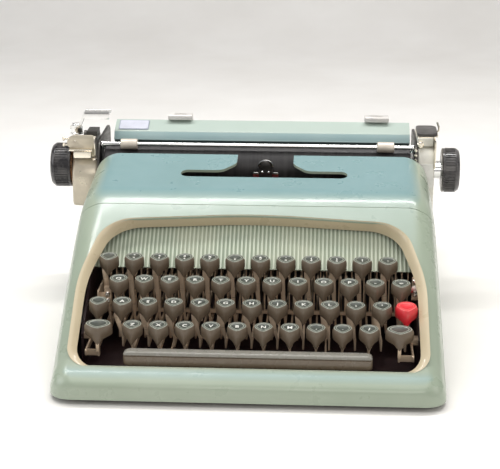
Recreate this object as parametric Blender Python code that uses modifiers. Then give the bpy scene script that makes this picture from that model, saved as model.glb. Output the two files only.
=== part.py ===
"""Portable manual typewriter, built as an assembly of separate pieces.

Metres, +Z up. Every piece hangs from the empty "machine", whose own frame has x = 0 in
the middle of the casing, y = 0 at the casing's front edge and z = 0 at its bottom edge,
with y running back from the typist. The empty is placed so that the world origin lies
under the middle of the whole machine, on the surface that it stands on.
"""

import math

import bmesh
import bpy
from mathutils import Matrix, Vector

# --- Driving dimensions --------------------------------------------------------
GAP = 0.0003                 # clearance between pieces that touch
RUNNING_CLEARANCE = 0.0004   # radial clearance of a pivot in its hole

# Keyboard: four rows, each named with its stagger in key pitches and its key count
KEY_PITCH = 0.01905
ROWS = (("lower", 1.25, 10), ("home", 0.75, 11), ("upper", 0.5, 12), ("number", 0.0, 12))
NUMBER_ROW_CENTRE_X = -0.0036
FRONT_ROW_Y = 0.037
FRONT_ROW_TOP_Z = 0.044
ROW_STEP_BACK = 0.0177
ROW_STEP_UP = 0.0112
CAP_RADIUS = 0.0075
CAP_SKIRT = 0.0056
CAP_PROW = 0.0070
CAP_TILT = math.radians(5)
SHIFT_CAP_RADIUS = 0.0103
LOCK_CAP_RADIUS = 0.0072
TAB_CAP_RADIUS = 0.0083
SIDE_KEY_PITCHES = 0.924     # from the end keys of the home row to the lock and tab keys
SHIFT_KEY_PITCHES = (1.312, 1.146)   # from the lower row's end keys to the shift keys

# Key levers, all on one fulcrum rod
LEVER_THICKNESS = 0.0016
LEVER_HEIGHT = 0.0050
LEVER_Z = 0.0215
STEM_WIDTH = 0.0046
FULCRUM_Y = 0.262
FULCRUM_RADIUS = 0.0020
SHIFT_ARM_STEP = 0.0050      # from the outermost key lever out to a shift key's arm
SHIFT_TUBE_BEHIND = 0.018
SHIFT_TUBE_RADIUS = 0.0030

# Space bar
SPACE_LENGTH = 0.1785
SPACE_FRONT_Y = 0.0172
SPACE_DEPTH = 0.0105
SPACE_BOTTOM_Z = 0.0182
SPACE_HEIGHT = 0.0122
SPACE_ARM_FRONT_Z = 0.0135   # the arms dip here, under the lower row's stroke
SPACE_ARM_PITCHES = (2.625, 8.625)   # where its two arms pass between the key levers

# Casing
SIDE_BORDER = 0.0200         # from the keyboard's widest key cap to the casing's outside
CASE_DEPTH = 0.366
WALL = 0.0020
SIDE_LEAN = 0.040            # how far the side walls lean in for each unit of height
PLAN_CORNER = 0.016
SHOULDER_RADIUS = 0.022
LIP_HEIGHT = 0.0095
LIP_DEPTH = 0.0125
LIP_TOP_Z = 0.0195
SLOPE_END_Y = 0.134
SLOPE_END_Z = 0.1085
SLOPE_TURN = math.radians(10)
DECK_TURN = math.radians(23.2)
DECK_BEND_RADIUS = 0.045
DECK_END_Y = 0.2180           # where the skin turns down behind the deck
COVER_END_Y = 0.2155
COVER_HEEL = 0.008           # how far the cover's side edge rises behind its hinge
REAR_TOP_Z = 0.070
REAR_CORNER = 0.018
COVER_FRONT_Y = 0.1310
COVER_SIDE_Z = 0.092
OPENING_BORDER = 0.0125      # from the casing's side to the keyboard opening
OPENING_CORNER = 0.015
OPENING_ARCH_CORNER = 0.030
OPENING_BOTTOM = 0.0020      # up the slope from the lip's top edge
OPENING_TOP_BORDER = 0.0135
OPENING_WAIST_RADIUS = 0.12
OPENING_WAIST_INSET = 0.0015
OPENING_ARCH_INSET = 0.0170
OPENING_ARCH_RISE = 0.0075
OPENING_ARCH_RADIUS = 0.5
CUT_DEPTH = 0.060            # how deep the cutters for the two openings reach
PANEL_BOTTOM = (0.1000, 0.0650)
PANEL_TOP = (0.1320, 0.0930)
PANEL_THICKNESS = 0.0020
PANEL_TOP_INSET = 0.012
SEAM_LEAN = 0.0045           # how far the cover's front seam runs forward on its way up
WELL_SIDE = 0.0145           # from the casing's side to the carriage well
WELL_FRONT = 0.012           # how far the well reaches in front of the deck's end
WELL_STEP_REAR = 0.010
WELL_BEHIND_RAIL = 0.028

# Ribbon cover's cut-out, type basket and guide
TYPE_X = 0.0045
SLOT_LENGTH = 0.133
SLOT_FRONT_Y = 0.1710
SLOT_WIDTH = 0.0130
NOTCH_FRONT_WIDTH = 0.068
NOTCH_REAR_WIDTH = 0.046
NOTCH_TAPER = 0.016
NOTCH_CORNER = 0.010
HINGE_Y = 0.2105
HINGE_DROP = 0.0080          # from the deck's surface down to the hinge's axis
HINGE_PIN_RADIUS = 0.0015
HINGE_EAR_INSET = 0.0225     # from the casing's side to the ear that holds the pin
HINGE_EAR_THICKNESS = 0.0025
HINGE_EAR_WALL = 0.0013      # of metal over the hinge pin
HINGE_BRACKET_DROP = 0.009
HINGE_BRACKET_HEIGHT = 0.004
HINGE_BRACKET_WIDTH = 0.006
HINGE_LUG_WIDTH = 0.006
HINGE_LUG_THICKNESS = 0.0024
BASKET_TOP_Z = 0.104
BASKET_RADIUS = 0.049
BASKET_BAND = 0.013
BASKET_REAR_Y = 0.2040
BASKET_DEPTH = 0.058
SEGMENT_THICKNESS = 0.009
REST_THICKNESS = 0.005
BASKET_TIE_HALF = 0.020
BASKET_TIE_HEIGHT = 0.005
BASKET_TIE_STEP = 0.004
GUIDE_STEP = 0.0055          # from the basket's rear to the type guide's middle
GUIDE_THICKNESS = 0.003
GUIDE_NECK_HEIGHT = 0.006
GUIDE_WIDTH = 0.019
GUIDE_TOP_Z = 0.1215

# Base
FOOT_HEIGHT = 0.004
FOOT_RADIUS = 0.010
PAN_HEIGHT = 0.012
PAN_WALL = 0.0015
SIDE_FRAME_STEP = 0.0055     # from a shift key's arm out to the side frame
SIDE_FRAME_THICKNESS = 0.0020
SIDE_FRAME_REAR = 0.010      # how far the side frame reaches behind the rail
PAN_FIT = 0.0015
PAN_FLOOR_Z = 0.0005
CROSS_BAR_Z = (0.034, 0.042)
CROSS_BAR_WIDTH = 0.008
FOOT_INSET = (0.026, 0.030)  # from the pan's side and from its front or rear edge
RAIL_THICKNESS = 0.010
RAIL_TOP_Z = 0.0720
RAIL_DEPTH = 0.022
RAIL_Y = 0.276

# Carriage; x is measured from the carriage's own middle
CARRIAGE_REST_X = -0.0063
PLATEN_Y = 0.2415
PLATEN_Z = 0.106
PLATEN_RADIUS = 0.0195
PLATEN_LEFT_X = -0.1250
PLATEN_RIGHT_X = 0.1300
AXLE_RADIUS = 0.0050
KNOB_RADIUS = 0.0187
KNOB_OUTER_X = 0.1710
KNOB_WIDTH_LEFT = 0.0172
KNOB_WIDTH_RIGHT = 0.0144
KNOB_CHAMFER = (0.0015, 0.0030)
PLATE_FOOT_CORNER = 0.004
PLATE_REAR_CORNER = 0.008
PLATE_FRONT_CORNER = 0.016
TRUCK_OVERLAP = 0.004        # how far the truck reaches into the end plates
BAIL_SPACE = 0.0035          # between a platen end and an end plate, where a bail arm swings
LEFT_PLATE_THICKNESS = 0.0240
RIGHT_PLATE_THICKNESS = 0.0160
PLATE_FRONT_Y = 0.2225
PLATE_REAR_Y = 0.2880
PLATE_TOP_Z = 0.1310
PLATE_BOTTOM_Z = 0.0745
TRUCK_THICKNESS = 0.0055
BAIL_ANGLE = math.radians(117)
BAIL_ROD_RADIUS = 0.0018
BAIL_ROLLER_RADIUS = 0.0044
BAIL_ROLLER_LENGTH = 0.0140
BAIL_ROLLER_INSET = 0.0155
BAIL_ARM_THICKNESS = 0.0016
BAIL_PIVOT_Y = 0.2620
BAIL_PIVOT_Z = 0.1165
BAIL_PIVOT_PIN = 0.0045
BAIL_ARM_BORDER = 0.0012
TABLE_LEFT_X = -0.1200
TABLE_CREASE = (0.2555, 0.1323)
TABLE_TOP = (0.2707, 0.1382)
TABLE_THICKNESS = 0.0015
TABLE_PLATEN_GAP = 0.0032
STOP_WIDTH = 0.0205
STOP_LEFT_X = -0.0650
STOP_RIGHT_X = 0.1025
STOP_HEIGHT = 0.0100
STOP_OVERHANG = 0.005
STOP_BACK = 0.0045
STOP_CLEARANCE = 0.0006
RETURN_PIVOT = (-0.1515, 0.2500)
RETURN_BOSS_RADIUS = 0.0055
RETURN_BOSS_HEIGHT = 0.006
RETURN_FOOT = 0.004
RETURN_BEND_X = 0.009
RETURN_PADDLE_X = 0.0075
RETURN_PADDLE_DEPTH = 0.004
RETURN_LIFT = 0.0135
RETURN_REACH = 0.0200
RETURN_WIDTH = 0.0140
RETURN_THICKNESS = 0.0030

# --- Sizes worked out from them ------------------------------------------------
number_row_start = NUMBER_ROW_CENTRE_X - KEY_PITCH * (ROWS[-1][2] - 1) / 2
row_y = {name: FRONT_ROW_Y + ROW_STEP_BACK * rank for rank, (name, _, _) in enumerate(ROWS)}
row_z = {name: FRONT_ROW_TOP_Z + ROW_STEP_UP * rank for rank, (name, _, _) in enumerate(ROWS)}
row_x = {name: number_row_start + KEY_PITCH * stagger for name, stagger, _ in ROWS}
row_end = {name: row_x[name] + KEY_PITCH * (count - 1) for name, _, count in ROWS}
tab_x = row_end["home"] + KEY_PITCH * SIDE_KEY_PITCHES
lock_x = row_x["home"] - KEY_PITCH * SIDE_KEY_PITCHES
shift_left_x = row_x["lower"] - KEY_PITCH * SHIFT_KEY_PITCHES[0]
shift_right_x = row_end["lower"] + KEY_PITCH * SHIFT_KEY_PITCHES[1]
shift_arm_x = max(tab_x, -lock_x) + SHIFT_ARM_STEP
side_frame_x = shift_arm_x + SIDE_FRAME_STEP
keyboard_half = max(tab_x + TAB_CAP_RADIUS, SHIFT_CAP_RADIUS - shift_left_x)
case_half = keyboard_half + SIDE_BORDER
chord_angle = math.atan2(SLOPE_END_Z - LIP_TOP_Z, SLOPE_END_Y - LIP_DEPTH)
deck_angle = chord_angle - SLOPE_TURN / 2 - DECK_TURN
hinge_ear_x = case_half - HINGE_EAR_INSET
platen_left_gap_x = PLATEN_LEFT_X - BAIL_SPACE
platen_right_gap_x = PLATEN_RIGHT_X + BAIL_SPACE
bail_reach = PLATEN_RADIUS + BAIL_ROLLER_RADIUS + GAP
bail_rod_y = PLATEN_Y + bail_reach * math.cos(BAIL_ANGLE)
bail_rod_z = PLATEN_Z + bail_reach * math.sin(BAIL_ANGLE)

# --- Scene set-up --------------------------------------------------------------
for old in list(bpy.data.objects):
    bpy.data.objects.remove(old, do_unlink=True)
parts = bpy.data.collections.new("typewriter")
cutters = bpy.data.collections.new("cutters")
for collection in (parts, cutters):
    bpy.context.scene.collection.children.link(collection)
cutters.hide_render = True

machine = bpy.data.objects.new("machine", None)
machine.location = (-CARRIAGE_REST_X, -CASE_DEPTH / 2, FOOT_HEIGHT)
parts.objects.link(machine)
carriage = bpy.data.objects.new("carriage", None)
carriage.location = (CARRIAGE_REST_X, 0, 0)
carriage.parent = machine
parts.objects.link(carriage)
bpy.context.view_layer.update()


def finish_paint(name, colour, roughness, metallic=0.0):
    """A Principled material of one colour."""
    paint = bpy.data.materials.new(name)
    paint.use_nodes = True
    shader = paint.node_tree.nodes["Principled BSDF"]
    shader.inputs["Base Color"].default_value = (*colour, 1)
    shader.inputs["Roughness"].default_value = roughness
    shader.inputs["Metallic"].default_value = metallic
    return paint


casing_paint = finish_paint("casing_paint", (0.50, 0.60, 0.55), 0.35)
deck_paint = finish_paint("deck_paint", (0.38, 0.53, 0.54), 0.35)
table_paint = finish_paint("table_paint", (0.48, 0.62, 0.58), 0.4)
key_plastic = finish_paint("key_plastic", (0.045, 0.045, 0.035), 0.3)
red_plastic = finish_paint("red_plastic", (0.75, 0.02, 0.04), 0.35)
bar_plastic = finish_paint("bar_plastic", (0.17, 0.14, 0.10), 0.25)
black_enamel = finish_paint("black_enamel", (0.02, 0.018, 0.02), 0.5)
nickel = finish_paint("nickel", (0.75, 0.70, 0.60), 0.3, 1.0)
chrome = finish_paint("chrome", (0.85, 0.85, 0.86), 0.12, 1.0)
rubber = finish_paint("rubber", (0.02, 0.02, 0.02), 0.7)


# --- Tools ---------------------------------------------------------------------
def add_object(name, mesh, material, parent=machine, location=(0, 0, 0), cutter=False):
    """Put a mesh in the model at a place in its parent's frame."""
    piece = bpy.data.objects.new(name, mesh)
    piece.parent = parent
    piece.location = location
    if material and not mesh.materials:
        mesh.materials.append(material)
    if cutter:
        cutters.objects.link(piece)
        piece.hide_render = True
        piece.display_type = "WIRE"
    else:
        parts.objects.link(piece)
    return piece


def mesh_from(bm, name, round_shape=False):
    """Turn a bmesh into a mesh; round shapes are smooth with their corners kept sharp."""
    bmesh.ops.recalc_face_normals(bm, faces=bm.faces)
    mesh = bpy.data.meshes.new(name)
    bm.to_mesh(mesh)
    bm.free()
    if round_shape:
        mesh.shade_smooth()
        mesh.set_sharp_from_angle(angle=math.radians(35))
    return mesh


def box_mesh(name, low, high):
    bm = bmesh.new()
    size = Vector(high) - Vector(low)
    middle = (Vector(high) + Vector(low)) / 2
    bmesh.ops.create_cube(bm, size=1, matrix=Matrix.Translation(middle) @ Matrix.Diagonal((*size, 1)))
    return mesh_from(bm, name)


def rod_mesh(name, start, end, radius, sides=16):
    """A round bar between two points that differ along one axis."""
    along = Vector(end) - Vector(start)
    turn = along.to_track_quat("Z", "Y").to_matrix().to_4x4()
    bm = bmesh.new()
    bmesh.ops.create_cone(
        bm,
        cap_ends=True,
        segments=sides,
        radius1=radius,
        radius2=radius,
        depth=along.length,
        matrix=Matrix.Translation((Vector(start) + Vector(end)) / 2) @ turn,
    )
    return mesh_from(bm, name, round_shape=True)


def rounded(corners):
    """Points along an outline whose corners (x, y, radius, steps) become arcs."""
    points = []
    for index, (x, y, radius, steps) in enumerate(corners):
        here = Vector((x, y))
        before = Vector(corners[index - 1][:2]) - here
        after = Vector(corners[(index + 1) % len(corners)][:2]) - here
        if radius == 0:
            points.append((x, y))
            continue
        half = before.angle(after) / 2
        reach = radius / math.tan(half)
        centre = here + (before.normalized() + after.normalized()).normalized() * (
            radius / math.sin(half)
        )
        start = here + before.normalized() * reach - centre
        end = here + after.normalized() * reach - centre
        turn = start.angle_signed(end)
        for step in range(steps + 1):
            angle = -turn * step / steps
            spot = centre + Matrix.Rotation(angle, 2) @ start
            points.append((spot.x, spot.y))
    return points


def flat_mesh(name, outlines, thickness, matrix=Matrix.Identity(4)):
    """A flat piece cut to one or more outlines (outer edge, then holes), centred on its plane."""
    curve = bpy.data.curves.new(name, "CURVE")
    curve.dimensions = "2D"
    curve.fill_mode = "BOTH"
    curve.extrude = thickness / 2
    for outline in outlines:
        spline = curve.splines.new("POLY")
        spline.points.add(len(outline) - 1)
        for point, (x, y) in zip(spline.points, outline):
            point.co = (x, y, 0, 1)
        spline.use_cyclic_u = True
    guide = bpy.data.objects.new(name, curve)
    bpy.context.scene.collection.objects.link(guide)
    bpy.context.view_layer.update()
    graph = bpy.context.evaluated_depsgraph_get()
    mesh = bpy.data.meshes.new_from_object(guide.evaluated_get(graph))
    bpy.data.objects.remove(guide, do_unlink=True)
    bm = bmesh.new()
    bm.from_mesh(mesh)
    bpy.data.meshes.remove(mesh)
    bmesh.ops.remove_doubles(bm, verts=bm.verts, dist=0.00001)
    bmesh.ops.transform(bm, matrix=matrix, verts=bm.verts)
    return mesh_from(bm, name)


def circle(x, y, radius, sides=12):
    return [
        (x + radius * math.cos(2 * math.pi * i / sides), y + radius * math.sin(2 * math.pi * i / sides))
        for i in range(sides)
    ]


def side_plane(x):
    """Puts an outline drawn in (y, z) on the plane at x."""
    return Matrix(((0, 0, 1, x), (1, 0, 0, 0), (0, 1, 0, 0), (0, 0, 0, 1)))


def cross_plane(y):
    """Puts an outline drawn in (x, z) on the plane at y."""
    return Matrix(((1, 0, 0, 0), (0, 0, -1, y), (0, 1, 0, 0), (0, 0, 0, 1)))


def combine(piece, operation, *meshes):
    """Joins meshes to a piece, or cuts them from it, with exact Booleans."""
    for mesh in meshes:
        tool = add_object(f"{piece.name}_{mesh.name}", mesh, None, piece, cutter=True)
        modifier = piece.modifiers.new(mesh.name, "BOOLEAN")
        modifier.operation = operation
        modifier.solver = "EXACT"
        modifier.object = tool
    return piece


def baked_mesh(piece):
    """The piece's mesh with its modifiers applied; the piece and its tools are removed."""
    bpy.context.view_layer.update()
    graph = bpy.context.evaluated_depsgraph_get()
    mesh = bpy.data.meshes.new_from_object(piece.evaluated_get(graph))
    for tool in list(piece.children):
        bpy.data.objects.remove(tool, do_unlink=True)
    bpy.data.objects.remove(piece, do_unlink=True)
    return mesh


# --- Casing skin: one pressed sheet, from which casing and ribbon cover are cut ---
def slope_profile(bend_steps=4, slope_steps=7):
    """(y, z) along the middle of the front: the lip, the slope's arc and the bend to the deck."""
    chord = math.hypot(SLOPE_END_Y - LIP_DEPTH, SLOPE_END_Z - LIP_TOP_Z)
    radius = chord / (2 * math.sin(SLOPE_TURN / 2))
    points = [
        (LIP_DEPTH * share, LIP_HEIGHT + (LIP_TOP_Z - LIP_HEIGHT) * share**0.8)
        for share in (0.0, 0.12, 0.35, 0.65)
    ]
    start_angle = chord_angle + SLOPE_TURN / 2
    for step in range(slope_steps + 1):
        turned = SLOPE_TURN * step / slope_steps
        y = LIP_DEPTH + radius * (math.sin(start_angle) - math.sin(start_angle - turned))
        z = LIP_TOP_Z + radius * (math.cos(start_angle - turned) - math.cos(start_angle))
        points.append((y, z))
    bend_start = chord_angle - SLOPE_TURN / 2
    for step in range(1, bend_steps + 1):
        turned = DECK_TURN * step / bend_steps
        y = SLOPE_END_Y + DECK_BEND_RADIUS * (math.sin(bend_start) - math.sin(bend_start - turned))
        z = SLOPE_END_Z + DECK_BEND_RADIUS * (math.cos(bend_start - turned) - math.cos(bend_start))
        points.append((y, z))
    return points


def case_profile():
    """The whole casing from the lip to the rear wall's foot."""
    points = slope_profile()
    bend_y, bend_z = points[-1]
    points.append((DECK_END_Y, bend_z + (DECK_END_Y - bend_y) * math.tan(deck_angle)))
    points.append((DECK_END_Y + WALL * 0.7, REAR_TOP_Z + SHOULDER_RADIUS))
    points.append((DECK_END_Y + WALL * 1.2, REAR_TOP_Z))
    for step in range(5):
        angle = math.pi / 2 * step / 4
        y = CASE_DEPTH - REAR_CORNER * (1 - math.sin(angle))
        z = REAR_TOP_Z - REAR_CORNER * (1 - math.cos(angle))
        points.append((y, z))
    return points


def deck_z(y):
    bend_y, bend_z = slope_profile()[-1]
    return bend_z + (y - bend_y) * math.tan(deck_angle)


hinge_z = deck_z(HINGE_Y) - HINGE_DROP


def half_width(y):
    """Half the casing's width at the base, narrowed by the rounded corners of its plan."""
    near_end = min(y, CASE_DEPTH - y)
    if near_end >= PLAN_CORNER:
        return case_half
    inset = PLAN_CORNER - math.sqrt(PLAN_CORNER**2 - (PLAN_CORNER - near_end) ** 2)
    return case_half - inset


def skin_section(y, z, columns):
    """Points across the casing at one station, from the left foot over the top to the right."""
    radius = min(SHOULDER_RADIUS, z * 0.75)
    foot = half_width(y)
    top = foot - SIDE_LEAN * z - radius
    shoulder_steps = 4
    half = [(foot, 0.0), (foot - SIDE_LEAN * (z - radius), z - radius)]
    for step in range(1, shoulder_steps + 1):
        angle = math.pi / 2 * step / shoulder_steps
        half.append((top + radius * math.cos(angle), z - radius * (1 - math.sin(angle))))
    for step in range(1, columns):
        half.append((top * (1 - step / columns), z))
    left = [(-x, height) for x, height in half]
    return left + [(0.0, z)] + half[::-1]


def skin_mesh():
    """The skin as a grid sheet, bent to shape; Solidify gives it its thickness inwards."""
    profile = case_profile()
    sections = [skin_section(y, z, 3) for y, z in profile]
    sections.insert(0, [(x, 0.0) for x, _ in sections[0]])
    stations = [profile[0][0]] + [y for y, _ in profile]
    sections.append([(x, 0.0) for x, _ in sections[-1]])
    stations.append(stations[-1])
    wide = len(sections[0])
    bm = bmesh.new()
    bmesh.ops.create_grid(bm, x_segments=wide - 1, y_segments=len(stations) - 1, size=1)
    for vertex in bm.verts:
        column = round((vertex.co.x + 1) / 2 * (wide - 1))
        row = round((vertex.co.y + 1) / 2 * (len(stations) - 1))
        x, z = sections[row][column]
        vertex.co = (x, stations[row], z)
    bmesh.ops.remove_doubles(bm, verts=bm.verts, dist=0.00001)
    mesh = bpy.data.meshes.new("skin")
    bm.to_mesh(mesh)
    bm.free()
    return mesh


def solid_skin(name, paint):
    piece = add_object(name, skin_mesh(), paint)
    shell = piece.modifiers.new("thickness", "SOLIDIFY")
    shell.thickness = WALL
    shell.offset = -1
    shell.use_even_offset = True
    return piece


def cover_zone(name, gap, end_y):
    """The block of space, seen from the side, that holds the ribbon cover."""
    high = SLOPE_END_Z * 1.5
    outline = [
        (COVER_FRONT_Y - SEAM_LEAN - gap, high),
        (COVER_FRONT_Y - gap, SLOPE_END_Z - SEAM_LEAN),
        (COVER_FRONT_Y + SEAM_LEAN - gap, COVER_SIDE_Z - gap),
        (HINGE_Y - COVER_HEEL / 2, COVER_SIDE_Z - gap),
        (COVER_END_Y, COVER_SIDE_Z + COVER_HEEL - gap),
        (end_y, COVER_SIDE_Z + COVER_HEEL - gap),
        (end_y, high),
    ]
    return flat_mesh(name, [outline], case_half * 2.2, side_plane(0))


def slope_plane():
    """Puts an outline drawn on the slope, with its second axis running up it, in place."""
    up = Vector((0, math.cos(chord_angle), math.sin(chord_angle)))
    out = Vector((0, -math.sin(chord_angle), math.cos(chord_angle)))
    matrix = Matrix.Identity(4)
    matrix.col[0] = (1, 0, 0, 0)
    matrix.col[1] = (*up, 0)
    matrix.col[2] = (*out, 0)
    matrix.col[3] = (0, LIP_DEPTH, LIP_TOP_Z, 1)
    return matrix


def keyboard_opening():
    """The big opening: straight sides, rounded corners and a low arch along its top."""
    wide = case_half - OPENING_BORDER
    slope_length = math.hypot(SLOPE_END_Y - LIP_DEPTH, SLOPE_END_Z - LIP_TOP_Z)
    top = slope_length - OPENING_TOP_BORDER
    corners = [
        (-wide, OPENING_BOTTOM, OPENING_CORNER, 4),
        (wide, OPENING_BOTTOM, OPENING_CORNER, 4),
        (wide - OPENING_WAIST_INSET, top * 0.55, OPENING_WAIST_RADIUS, 2),
        (wide - OPENING_ARCH_INSET, top - OPENING_ARCH_RISE, OPENING_ARCH_CORNER, 4),
        (0.0, top, OPENING_ARCH_RADIUS, 4),
        (-wide + OPENING_ARCH_INSET, top - OPENING_ARCH_RISE, OPENING_ARCH_CORNER, 4),
        (-wide + OPENING_WAIST_INSET, top * 0.55, OPENING_WAIST_RADIUS, 2),
    ]
    return flat_mesh("keyboard_opening", [rounded(corners)], CUT_DEPTH, slope_plane())


def ribbed_panel():
    """The panel behind the number row, joined to the side walls."""
    run = Vector((PANEL_TOP[0] - PANEL_BOTTOM[0], PANEL_TOP[1] - PANEL_BOTTOM[1]))
    reach = case_half - SIDE_LEAN * (PANEL_BOTTOM[1] + 0.006) - WALL / 2
    outline = [
        (-reach, 0.0),
        (reach, 0.0),
        (reach, run.length * 0.45),
        (reach - PANEL_TOP_INSET, run.length),
        (-reach + PANEL_TOP_INSET, run.length),
        (-reach, run.length * 0.45),
    ]
    along = run.normalized()
    matrix = Matrix.Identity(4)
    matrix.col[1] = (0, along.x, along.y, 0)
    matrix.col[2] = (0, -along.y, along.x, 0)
    matrix.col[3] = (0, *PANEL_BOTTOM, 1)
    return flat_mesh("ribbed_panel", [outline], PANEL_THICKNESS, matrix)


def hinge_bracket(side):
    """A bracket from the side wall up to the cover's hinge pin, seen from the front."""
    low_z = COVER_SIDE_Z - HINGE_BRACKET_DROP
    wall_x = case_half - SIDE_LEAN * low_z - WALL / 2
    ear_top = hinge_z + HINGE_PIN_RADIUS + HINGE_EAR_WALL
    outline = [
        (side * hinge_ear_x, low_z),
        (side * wall_x, low_z),
        (side * wall_x, low_z + HINGE_BRACKET_HEIGHT),
        (side * (hinge_ear_x + HINGE_EAR_THICKNESS), low_z + HINGE_BRACKET_HEIGHT),
        (side * (hinge_ear_x + HINGE_EAR_THICKNESS), ear_top),
        (side * hinge_ear_x, ear_top),
    ]
    return flat_mesh(f"hinge_bracket_{side}", [outline], HINGE_BRACKET_WIDTH, cross_plane(HINGE_Y))


def hinge_hole(side):
    hole = HINGE_PIN_RADIUS + RUNNING_CLEARANCE
    start = (side * (hinge_ear_x - HINGE_EAR_THICKNESS * 0.8), HINGE_Y, hinge_z)
    end = (side * (hinge_ear_x + HINGE_EAR_THICKNESS * 2), HINGE_Y, hinge_z)
    return rod_mesh(f"hinge_hole_{side}", start, end, hole, 10)


def make_casing():
    casing = solid_skin("body_casing", casing_paint)
    rear_half = case_half - WELL_SIDE
    step_opening = box_mesh(
        "step_opening",
        (-rear_half, DECK_END_Y - WELL_FRONT, RAIL_TOP_Z - 0.012),
        (rear_half, DECK_END_Y + WELL_STEP_REAR, hinge_z + 0.020),
    )
    top_opening = box_mesh(
        "top_opening",
        (-rear_half, DECK_END_Y - WELL_FRONT, RAIL_TOP_Z - 0.012),
        (rear_half, RAIL_Y + WELL_BEHIND_RAIL, REAR_TOP_Z + 0.010),
    )
    cover_space = cover_zone("cover_space", GAP, DECK_END_Y + WELL_STEP_REAR)
    combine(casing, "DIFFERENCE", keyboard_opening(), cover_space)
    combine(casing, "DIFFERENCE", step_opening, top_opening)
    combine(casing, "UNION", ribbed_panel())
    for side in (-1, 1):
        combine(casing, "UNION", hinge_bracket(side))
        combine(casing, "DIFFERENCE", hinge_hole(side))
    return casing


def cover_cutout():
    """The typebar slot with the notch behind it, open to the deck's rear edge."""
    half = SLOT_LENGTH / 2
    rear = SLOT_FRONT_Y + SLOT_WIDTH
    beyond = DECK_END_Y + 0.004
    corners = [
        (TYPE_X - half, SLOT_FRONT_Y, SLOT_WIDTH * 0.45, 3),
        (TYPE_X + half, SLOT_FRONT_Y, SLOT_WIDTH * 0.45, 3),
        (TYPE_X + half, rear, SLOT_WIDTH * 0.45, 3),
        (TYPE_X + NOTCH_FRONT_WIDTH / 2, rear, 0, 1),
        (TYPE_X + NOTCH_REAR_WIDTH / 2, rear + NOTCH_TAPER, NOTCH_CORNER, 2),
        (TYPE_X + NOTCH_REAR_WIDTH / 2, beyond, 0, 1),
        (TYPE_X - NOTCH_REAR_WIDTH / 2, beyond, 0, 1),
        (TYPE_X - NOTCH_REAR_WIDTH / 2, rear + NOTCH_TAPER, NOTCH_CORNER, 2),
        (TYPE_X - NOTCH_FRONT_WIDTH / 2, rear, 0, 1),
        (TYPE_X - half, rear, SLOT_WIDTH * 0.45, 3),
    ]
    matrix = Matrix.Translation((0, 0, hinge_z))
    return flat_mesh("cutout", [rounded(corners)], CUT_DEPTH, matrix)


def make_cover():
    """The ribbon cover; its origin is on its hinge's axis."""
    cover = solid_skin("ribbon_cover", deck_paint)
    combine(cover, "INTERSECT", cover_zone("cover_block", 0.0, COVER_END_Y + 0.0001))
    combine(cover, "DIFFERENCE", cover_cutout())
    for side in (-1, 1):
        half = HINGE_LUG_THICKNESS / 2
        wide = HINGE_LUG_WIDTH / 2
        lug_x = side * (hinge_ear_x - GAP - half)
        lug_top = deck_z(HINGE_Y) - WALL / 2
        lug = box_mesh(
            f"lug_{side}",
            (lug_x - half, HINGE_Y - wide, hinge_z - wide),
            (lug_x + half, HINGE_Y + wide, lug_top),
        )
        pin_start = (lug_x, HINGE_Y, hinge_z)
        pin_end = (side * (hinge_ear_x + 0.0040), HINGE_Y, hinge_z)
        combine(cover, "UNION", lug, rod_mesh(f"pin_{side}", pin_start, pin_end, HINGE_PIN_RADIUS, 10))
    mesh = baked_mesh(cover)
    mesh.transform(Matrix.Translation((0, -HINGE_Y, -hinge_z)))
    return add_object("ribbon_cover", mesh, deck_paint, location=(0, HINGE_Y, hinge_z))


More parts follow.
